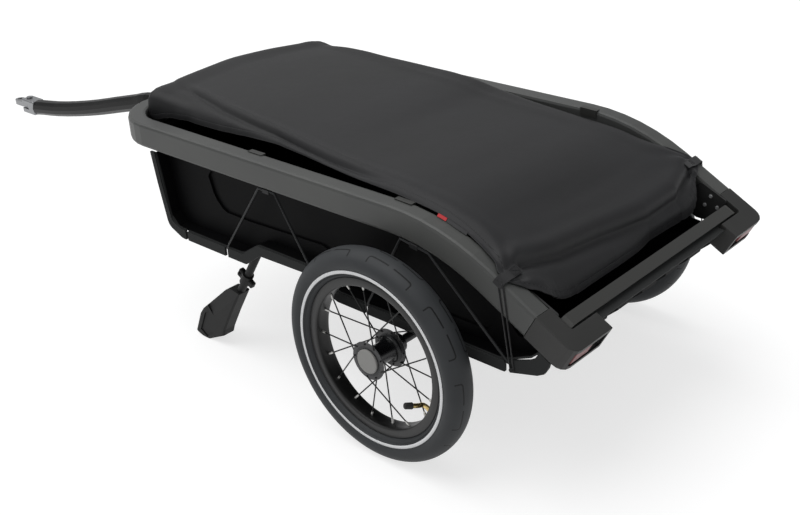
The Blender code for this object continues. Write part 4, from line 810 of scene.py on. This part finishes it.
def rail_top(x):
    """Height of the rail's top surface."""
    if x >= BEND_X:
        return RAIL_TOP
    if x >= BEND_END[0]:
        return RAIL_TOP - BEND_R + math.sqrt(BEND_R ** 2 - (x - BEND_X) ** 2)
    return BEND_END[1] + (x - BEND_END[0]) * math.tan(SLOPE)


def side_edge(table, x):
    """The four places (y, height above the rail's top) of one side of the cover at x."""
    values = between(table, x)
    return list(zip(values[::2], values[1::2]))


def front_limit(y):
    """Foremost x of the cover where it hangs inside the rail's front corners."""
    inside = RAIL_CORNER_R - RAIL_W - 0.0035
    beyond = max(0.0, abs(y) - (RAIL_OUTER_Y - RAIL_CORNER_R))
    return RAIL_FRONT_X - RAIL_CORNER_R + math.sqrt(inside ** 2 - beyond ** 2)


def top_row(x):
    """Places across the cover, from the right hem to the left hem, where it spans the tub."""
    left = side_edge(LEFT_EDGE, x)
    row = [(-y, height) for y, height in side_edge(RIGHT_EDGE, x)]
    (y0, h0), (y1, h1) = row[-1], left[-1]
    for k in range(1, COVER_COLUMNS):
        share = k / COVER_COLUMNS
        y = y0 + (y1 - y0) * share
        swell = 0.004 * math.sin(math.pi * share) * ease(-0.10, 0.20, x)
        dip = -0.005 * bell(x + 0.175 - 0.05 * y, 0.030) * math.sin(math.pi * share)
        row.append((y, h0 + (h1 - h0) * share + swell + dip))
    row += reversed(left)
    places = []
    for y, height in row:
        forward = (between(COVER_FRONT, y)[0] - FRONT_X) * ease(0.52, FRONT_X, x)
        places.append(Vector((x + forward, y, rail_top(x) + height)))
    return places


def rear_rows():
    """Hem, middle and fold of the flap that hangs down behind the cover."""
    half = [0.300, 0.293, 0.286, 0.2594]
    across = [-y for y in half]
    across += [half[-1] * (2 * k / COVER_COLUMNS - 1) for k in range(1, COVER_COLUMNS)]
    across += reversed(half)
    hem = []
    fold = []
    for y in across:
        x, rise = between(FAR_HEM if y < 0 else NEAR_HEM, abs(y))
        hem.append(Vector((x, y, rail_top(x) + rise)))
        x, = between(REAR_FOLD, y)
        lift = 0.0025 + 0.0095 * ease(0.286, 0.262, abs(y))
        fold.append(Vector((x, y, rail_top(x) + lift)))
    middle = [a.lerp(b, 0.5) + Vector((-0.004, 0, 0.002)) * ease(0.286, 0.24, abs(a.y))
              for a, b in zip(hem, fold)]
    return [hem, middle, fold]


def front_rows(edge):
    """Middle and hem of the flap that hangs down inside the rail's front."""
    return [[Vector((min(p.x, front_limit(p.y)), p.y, RAIL_TOP + height)) for p in edge]
            for height in (0.0030, -0.0160)]


def small_folds(x, y, hem, from_fold, from_shoulder):
    """Height of the cloth's folds over its plain shape, square to the cloth."""
    out = abs(y)
    # Valley behind the rear fold and the roll ahead of it
    rise = -0.0160 * bell(from_fold + 0.006, 0.0095) * ease(0.294, 0.262, out)
    rise += 0.0040 * bell(from_fold - 0.018, 0.014) * ease(0.30, 0.27, out)
    if from_fold < 0.0:
        # Gathers along the rear flap's hem, deeper to the sides, and the roll above them
        wave = math.sin(y * 430 + 2.2 * math.sin(y * 83))
        wave = wave * (0.55 + 0.45 * math.sin(y * 141 + 1.0))
        rise += 0.0022 * wave * bell(hem, 0.024) * (0.10 + 0.90 * ease(0.10, 0.235, out))
        rise += 0.0022 * bell(hem - 0.030, 0.020)
    if y > 0:
        # Ridge and crease along the near shoulder, ripples in the skirt and at the front corner
        crease = ease(-0.02, 0.20, x) * (1 - 0.9 * ease(0.68, 0.760, x))
        rise += (0.0030 * bell(from_shoulder + 0.015, 0.009)
                 - 0.0080 * bell(from_shoulder - 0.003, 0.008)) * crease
        wave = math.sin(x * 96 + 1.6 * math.sin(x * 37))
        rise += 0.0011 * wave * bell(hem, 0.022) * ease(0.30, 0.42, x)
        wave = math.sin(34 * (x - 0.62) + 40 * (y - 0.2))
        rise += 0.0014 * wave * ease(0.60, 0.74, x) * bell(hem - 0.02, 0.02)
    else:
        # Ridge along the far shoulder
        rise += 0.0024 * bell(y + 0.205 + 0.05 * ease(0.4, 0.7, x), 0.014) * ease(-0.12, 0.10, x)
    # Slack of the whole cloth, then the pull of the tabs
    slack = math.sin(6.0 * (y - 0.10) + 3.1 * x + 1.3 * math.sin(5 * x))
    slack = slack * math.sin(8.0 * y - 4.0 * x + 0.6)
    rise += 0.0012 * slack * ease(0.0, 0.05, hem)
    turn = math.atan2(out - 0.295, x + 0.240)
    pull = bell(math.hypot(x + 0.238, out - 0.290), 0.085) * ease(0.0, 0.02, hem)
    rise += 0.0017 * pull * math.sin(11.0 * turn + (0.7 if y > 0 else 2.0))
    return rise


def cover_grid():
    """Fine grid of the cover's places, with the fine numbers of its front row and side edges."""
    stations = [-0.205, -0.180, -0.155, -0.135, -0.100, 0.0]
    stations += [0.150 + (FRONT_X - 0.150) * i / COVER_ROWS for i in range(COVER_ROWS + 1)]
    rows = rear_rows() + [top_row(x) for x in stations]
    front = len(rows) - 1
    rows += front_rows(rows[-1])
    across = [4, 4, 5] + [10] * COVER_COLUMNS + [5, 4, 4]
    along = [9, 9, 6, 5, 5, 4, 5, 10, 14] + [6] * COVER_ROWS + [4, 4]
    columns = [through(column, along) for column in zip(*(through(row, across) for row in rows))]
    return [list(row) for row in zip(*columns)], sum(along[:front]), sum(across[:2])


def runs(line):
    """Distance along a line of places, from its start to each of them."""
    total = [0.0]
    for a, b in zip(line, line[1:]):
        total.append(total[-1] + (b - a).length)
    return total


def hem_distances(grid, front):
    """Distance of each place of the grid from the nearest hem, along the cloth."""
    columns = []
    for line in zip(*grid):
        total = runs(line)
        columns.append([min(run, total[-1] - run) for run in total])
    hem = [list(row) for row in zip(*columns)]
    for i in range(front + 1):
        hem[i] = [min(three) for three in zip(hem[i], runs(grid[i]), runs(grid[i][::-1])[::-1])]
    return hem


def cover_sheet():
    """The cover's cloth, and the places round its hem."""
    grid, front, edge = cover_grid()
    last_row, last = len(grid) - 1, len(grid[0]) - 1
    hem = hem_distances(grid, front)
    index, verts, data = {}, [], []

    def number(i, k):
        """Vertex of a grid place; the front flap's ends are the side flaps' front ends."""
        if i > front and k == edge:
            i, k = front, edge - (i - front)
        if i > front and k == last - edge:
            i, k = front, last - edge + (i - front)
        if (i, k) not in index:
            p = grid[i][k]
            a = grid[min(i + 1, last_row)][k] - grid[max(i - 1, 0)][k]
            b = grid[i][min(k + 1, last)] - grid[i][max(k - 1, 0)]
            normal = a.cross(b).normalized()
            fold = p.x - between(REAR_FOLD, p.y)[0]
            shoulder = p.y - side_edge(LEFT_EDGE, p.x)[3][0]
            lift = small_folds(p.x, p.y, hem[i][k], fold, shoulder)
            if abs(p.y) > CORNER_Y and p.x < CORNER_X:
                lift = max(lift, CORNER_SINK)
            index[i, k] = len(verts)
            verts.append(ground(*(p + normal * lift)))
            crosswise = i < REAR_FINE_ROWS or i > front
            data.append((p.x, p.y, hem[i][k], p.y if crosswise else p.x))
        return index[i, k]

    faces = []
    for i in range(last_row):
        for k in range(last):
            if i < front or edge <= k < last - edge:
                faces.append((number(i, k), number(i, k + 1), number(i + 1, k + 1),
                              number(i + 1, k)))
    mesh = bpy.data.meshes.new("cover_cloth")
    mesh.from_pydata(verts, [], faces)
    if sum(p.normal.z for p in mesh.polygons) < 0:
        mesh.flip_normals()
    flat = mesh.uv_layers.new(name="flat")
    seam = mesh.uv_layers.new(name="hem")
    for loop in mesh.loops:
        values = data[loop.vertex_index]
        flat.data[loop.index].uv = values[:2]
        seam.data[loop.index].uv = values[2:]
    mesh.shade_smooth()
    cloth = add_object("cover_cloth", mesh)
    thick = cloth.modifiers.new("cloth", "SOLIDIFY")
    thick.thickness = COVER_T
    thick.offset = 1
    mesh.materials.append(FINISH["cover"])
    rim = [(0, k) for k in range(last + 1)] + [(i, last) for i in range(1, front + 1)]
    rim += [(last_row, k) for k in range(last - edge - 1, edge, -1)]
    rim += [(i, 0) for i in range(front, 0, -1)]
    return cloth, [verts[number(i, k)] for i, k in rim]


def make_cover():
    cloth, rim = cover_sheet()
    settle(cloth, "frame", "cover")
    hem = tube_piece("cover_hem", [p + Vector((0, 0, HEM_LIFT)) for p in rim], HEM_R, "cover",
                     cyclic=True, resolution=2)
    settle(hem, "frame")


def strip(name, path, across, width, thick, finish):
    """Flat band of even width along a path; the path gives the middle of its underside."""
    verts, flat = [], []
    for i, (place, run) in enumerate(zip(path, runs(path))):
        along = (path[min(i + 1, len(path) - 1)] - path[max(i - 1, 0)]).normalized()
        up = across.cross(along).normalized()
        for side, lift in ((-0.5, 0), (0.5, 0), (0.5, 1), (-0.5, 1)):
            verts.append(place + across * (width * side) + up * (thick * lift))
            flat.append((width * side + lift * thick, run))
    ends = [(3, 2, 1, 0), tuple(range(len(verts) - 4, len(verts)))]
    made = add_mesh(name, verts, ring_faces(range(0, len(verts), 4), 4) + ends, finish)
    uv = made.data.uv_layers.new(name="flat")
    for loop in made.data.loops:
        uv.data[loop.index].uv = flat[loop.vertex_index]
    soft = made.modifiers.new("edge", "BEVEL")
    soft.width = thick * 0.3
    soft.segments = 2
    return made


def on_slope(s, y, height):
    """Place on the rear slope: s forward of the seam, height square to the rail's top."""
    return ground(SEAM_X + COS * s - SIN * height, y, SEAM_Z + SIN * s + COS * height)


# Underside of a tab, as (distance from the centre line, height above the rail's top); the right
# one starts further in. Then the corners of its stitching, with the distance along the slope
TAB_LINE = [(0.2690, 0.0112), (0.2740, 0.0096), (0.2800, 0.0076), (0.2860, 0.0062),
            (0.2940, 0.0058), (0.3020, 0.0058), (0.3080, 0.0052), (0.3125, 0.0030),
            (0.3148, -0.0010), (0.3155, -0.0060)]
RIGHT_TAB_START = [(0.2520, 0.0132), (0.2610, 0.0124)]
STITCH_CORNERS = [(0.0745, 0.2710, 0.0122), (0.0875, 0.2710, 0.0122), (0.0875, 0.2840, 0.0086),
                  (0.0745, 0.2840, 0.0086)]


def make_tabs():
    """Webbing tabs sewn to the cover's rear corners, bent down over the rail's outer edge."""
    along = Vector((COS, 0, SIN))
    for side, label in SIDES:
        line = TAB_LINE if side > 0 else RIGHT_TAB_START + TAB_LINE
        points = through([Vector((TAB_S, y, h)) for y, h in line], 3)
        path = [on_slope(p.x, side * p.y, p.z) for p in points]
        tab = strip("tab_webbing_" + label, path, along * side, TAB_W, TAB_T, "webbing")
        settle(tab, "frame", "cover_tab_" + label)
        corners = [on_slope(s, side * y, h) for s, y, h in STITCH_CORNERS]
        for k, (i, j) in enumerate(((0, 1), (1, 2), (2, 3), (3, 0), (0, 2), (1, 3))):
            bulge = Vector((0, 0, 0.0006 if k < 4 else 0.0004))
            line = [corners[i].lerp(corners[j], t / 6) + bulge for t in range(7)]
            stitch = tube_piece(f"tab_stitch_{label}_{k}", line, 0.0004, "thread", resolution=1)
            settle(stitch, "frame")


def make_labels():
    """Plain woven labels in the seam above the near rail."""
    flank = Vector((0, 0.80, -0.60)).normalized()
    for name, x0, x1 in (("red_label", -0.077, -0.096), ("dark_label", -0.097, -0.140)):
        path = []
        for k in range(9):
            x = x0 + (x1 - x0) * k / 8
            y = LABEL_Y + 0.0006 * math.sin(90 * x)
            path.append(ground(x, y, rail_top(x) + LABEL_RISE))
        settle(strip(name, path, flank, LABEL_W, LABEL_T, name), "frame")


# Wheels

def wheel_place(x, out, z, side):
    """Place in a wheel given from its middle, out being away from the trailer."""
    return ground(x, side * (WHEEL_Y + out), WHEEL_R + z)


def circle(count):
    """Cosine and sine of count even steps round a full turn."""
    turns = [2 * math.pi * k / count for k in range(count)]
    return [(math.cos(turn), math.sin(turn)) for turn in turns]


def lathe(name, profile, steps, side, finish):
    """Closed section of (radius, outboard offset) turned about the axle."""
    verts = [wheel_place(radius * cos, out, radius * sin, side)
             for cos, sin in circle(steps) for radius, out in profile]
    rings = [i * len(profile) for i in range(steps)] + [0]
    return add_mesh(name, verts, ring_faces(rings, len(profile)), finish, sharp=38)


def rods(name, lines, side, finish, sides):
    """Round rods in one piece; each line is a list of (place, radius)."""
    verts, faces = [], []
    for line in lines:
        base = len(verts)
        points = [p for p, _ in line]
        for i, (place, radius) in enumerate(line):
            along = (points[min(i + 1, len(points) - 1)] - points[max(i - 1, 0)]).normalized()
            if i:
                across = (across - along * across.dot(along)).normalized()
            else:
                across = along.orthogonal().normalized()
            other = along.cross(across)
            for cos, sin in circle(sides):
                p = place + across * (radius * cos) + other * (radius * sin)
                verts.append(wheel_place(p.x, p.y, p.z, side))
        faces += ring_faces(range(base, len(verts), sides), sides)
        faces.append(tuple(range(base, base + sides)))
        faces.append(tuple(range(len(verts) - sides, len(verts))))
    return add_mesh(name, verts, faces, finish, sharp=50)


def both_halves(half):
    """Closed section from the half of it that runs from the wheel's middle outwards."""
    return half + [(r, -y) for r, y in reversed(half) if abs(y) > 1e-9]


def make_tyre(side, label):
    """Tyre, and the light stripe on its sidewall."""
    body = "wheel_" + label
    bead = RIM_HALF_W - 0.0023
    low = STRIPE_R - STRIPE_W / 2
    crown = [Vector((r, y, 0)) for r, y in (
        (STRIPE_R + STRIPE_W / 2 + 0.0008, SIDEWALL_Y), (0.1755, 0.0275), (0.1800, 0.0288),
        (0.1850, 0.0287), (0.1905, 0.0271), (0.1955, 0.0238), (0.1992, 0.0196), (0.2022, 0.0144),
        (0.2042, 0.0078), (0.2050, 0.0))]
    half = [(RIM_BED_R + 0.0003, bead), (RIM_EDGE_R + 0.0008, bead), (RIM_EDGE_R + 0.0022, 0.0182),
            (RIM_EDGE_R + 0.0045, 0.0208), (0.1606, 0.0226), (0.1611, 0.0220), (0.1616, 0.0230),
            (low - 0.0008, SIDEWALL_Y)]
    half += [(p.x, p.y) for p in through(crown, 3)]
    tyre = lathe("tyre_rubber_" + label, both_halves(half), WHEEL_STEPS, side, "tyre")
    settle(tyre, body, "tyre_" + label)
    band = [(low, SIDEWALL_Y + 0.0003), (low, SIDEWALL_Y + 0.0006),
            (low + 0.0004, SIDEWALL_Y + 0.0009), (low + STRIPE_W - 0.0004, SIDEWALL_Y + 0.0009),
            (low + STRIPE_W, SIDEWALL_Y + 0.0006), (low + STRIPE_W, SIDEWALL_Y + 0.0003)]
    band = lathe("sidewall_band_" + label, band, WHEEL_STEPS, side, "band")
    settle(band, body, "reflective_band_" + label)


def make_rim(side, label):
    low, high, flank = RIM_INNER_R, RIM_EDGE_R, RIM_HALF_W
    half = [(low, 0.0), (low, 0.0060), (low + 0.0004, 0.0135), (low + 0.0012, 0.0152),
            (low + 0.0030, 0.0168), (low + 0.0045, flank), (high - 0.0008, flank),
            (high, flank - 0.0005), (high, flank - 0.0015), (high - 0.0008, flank - 0.0020),
            (RIM_BED_R, flank - 0.0020)]
    rim = lathe("rim_extrusion_" + label, both_halves(half), WHEEL_STEPS, side, "rim")
    settle(rim, "wheel_" + label, "rim_" + label)


def flange_edge(place):
    """Rounded edge of a hub flange."""
    edge = FLANGE_HALF_T * 0.65
    return [(FLANGE_R - 0.0006, place - edge), (FLANGE_R, place), (FLANGE_R - 0.0006, place + edge)]


def make_hub(side, label):
    """Hub shell with its bearing seats and the recess of the release button."""
    low, high, thick = HUB_INNER_FLANGE, HUB_OUTER_FLANGE, FLANGE_HALF_T
    seat, well = BEARING_R + 0.0003, BUTTON_R + 0.0005
    inner_end = HUB_INNER_END - WHEEL_Y
    recess = BUTTON_FACE_Y - WHEEL_Y - 0.011
    shell = [(seat, inner_end), (0.0172, inner_end), (0.0180, inner_end + 0.0008),
             (0.0180, low - 0.0050), (0.0200, low - 0.0030), (0.0290, low - thick)]
    shell += flange_edge(low)
    shell += [(0.0290, low + thick), (0.0245, low + 0.0030), (0.0217, low + 0.0065),
              (BARREL_R, low + 0.0110), (BARREL_R - 0.0008, -0.0120), (BARREL_R - 0.0008, 0.0020),
              (BARREL_R, high - 0.0130), (0.0225, high - 0.0065), (0.0270, high - thick - 0.0010),
              (0.0300, high - thick)]
    shell += flange_edge(high)
    shell += [(BUTTON_R + 0.0032, high + thick), (well, high + thick), (well, recess),
              (seat, recess), (seat, recess - 0.008), (0.009, recess - 0.008),
              (0.009, inner_end + 0.008), (seat, inner_end + 0.008)]
    shell = lathe("hub_shell_" + label, shell, HUB_STEPS, side, "hub")
    settle(shell, "wheel_" + label, "hub_" + label)


def spoke_line(k):
    """Hub end, rim end, direction and flange of spoke k, from the wheel's middle."""
    flange = HUB_OUTER_FLANGE if k % 2 == 0 else HUB_INNER_FLANGE
    swing = 1 if (k // 2) % 2 == 0 else -1
    nipple = math.radians(360 * k / SPOKES)
    hole = nipple + swing * SPOKE_SWEEP
    start = Vector((SPOKE_CIRCLE_R * math.cos(hole), flange + swing * (FLANGE_HALF_T + 0.0005),
                    SPOKE_CIRCLE_R * math.sin(hole)))
    reach = RIM_INNER_R + 0.0012
    end = Vector((reach * math.cos(nipple), math.copysign(0.002, flange), reach * math.sin(nipple)))
    return start, end, (end - start).normalized(), flange


def make_spokes(side, label):
    """Spokes with their heads beyond the flange, and the nipples that hold them in the rim."""
    spokes, nipples = [], []
    for k in range(SPOKES):
        start, end, along, flange = spoke_line(k)
        beyond = Vector((start.x, 2 * flange - start.y, start.z))
        head = Vector((start.x, 2.6 * flange - 1.6 * start.y, start.z))
        spokes.append([(head, 0.0016), (beyond, 0.0017), (beyond.lerp(start, 0.4), SPOKE_R),
                       (start, SPOKE_R), (start + along * 0.003, SPOKE_R),
                       (end - along * (NIPPLE_LEN - 0.0005), SPOKE_R)])
        nipples.append([(end + along * 0.0008, NIPPLE_R), (end - along * 0.0085, NIPPLE_R),
                        (end - along * 0.0092, NIPPLE_R * 0.8),
                        (end - along * NIPPLE_LEN, NIPPLE_R * 0.74)])
    body = "wheel_" + label
    settle(rods("spokes_" + label, spokes, side, "spoke", 10), body)
    settle(rods("nipples_" + label, nipples, side, "nipple", 8), body)


def make_valve(side, label):
    """Bent brass stem and its ribbed black cap."""
    def at(radius, out=0.0):
        return wheel_place(radius * math.cos(VALVE_ANGLE), out, radius * math.sin(VALVE_ANGLE),
                           side)
    elbow = RIM_INNER_R - 0.014
    tip = elbow - VALVE_LEN * math.cos(VALVE_BEND)
    reach = VALVE_LEN * math.sin(VALVE_BEND)
    route = [at(RIM_BED_R - 0.0035), at(RIM_INNER_R - 0.004), at(elbow + 0.004),
             at(elbow - 0.003, 0.003), at((elbow + tip) / 2, reach / 2), at(tip, reach)]
    stem = tube_piece("valve_stem_" + label, through(route, 3), VALVE_R, "brass")
    settle(stem, "wheel_" + label, "valve_" + label)
    along = (route[-1] - route[-2]).normalized()
    across = along.orthogonal().normalized()
    other = along.cross(across)
    verts = []
    for step, radius in ((0.0003, 0.0047), (0.0003, 0.0056), (0.0010, 0.0062), (0.0140, 0.0058),
                         (0.0155, 0.0046)):
        for k, (cos, sin) in enumerate(circle(VALVE_CAP_SIDES)):
            r = radius - (0.0003 if k % 4 == 0 else 0.0)
            verts.append(route[-1] + along * step + across * (r * cos) + other * (r * sin))
    faces = ring_faces(range(0, len(verts), VALVE_CAP_SIDES), VALVE_CAP_SIDES)
    faces.append(tuple(range(VALVE_CAP_SIDES - 1, -1, -1)))
    faces.append(tuple(range(len(verts) - VALVE_CAP_SIDES, len(verts))))
    cap = add_mesh("valve_cap_ribbed_" + label, verts, faces, "rubber", sharp=40)
    settle(cap, "wheel_" + label, "valve_cap_" + label)


set_camera()
set_world()
set_lamps()
set_floor()
bpy.context.scene.view_settings.view_transform = "Standard"
dress_nodes()
make_cover()
make_tabs()
make_labels()
for side, label in SIDES:
    make_tyre(side, label)
    make_rim(side, label)
    make_hub(side, label)
    make_spokes(side, label)
for side, label in SIDES:
    make_valve(side, label)
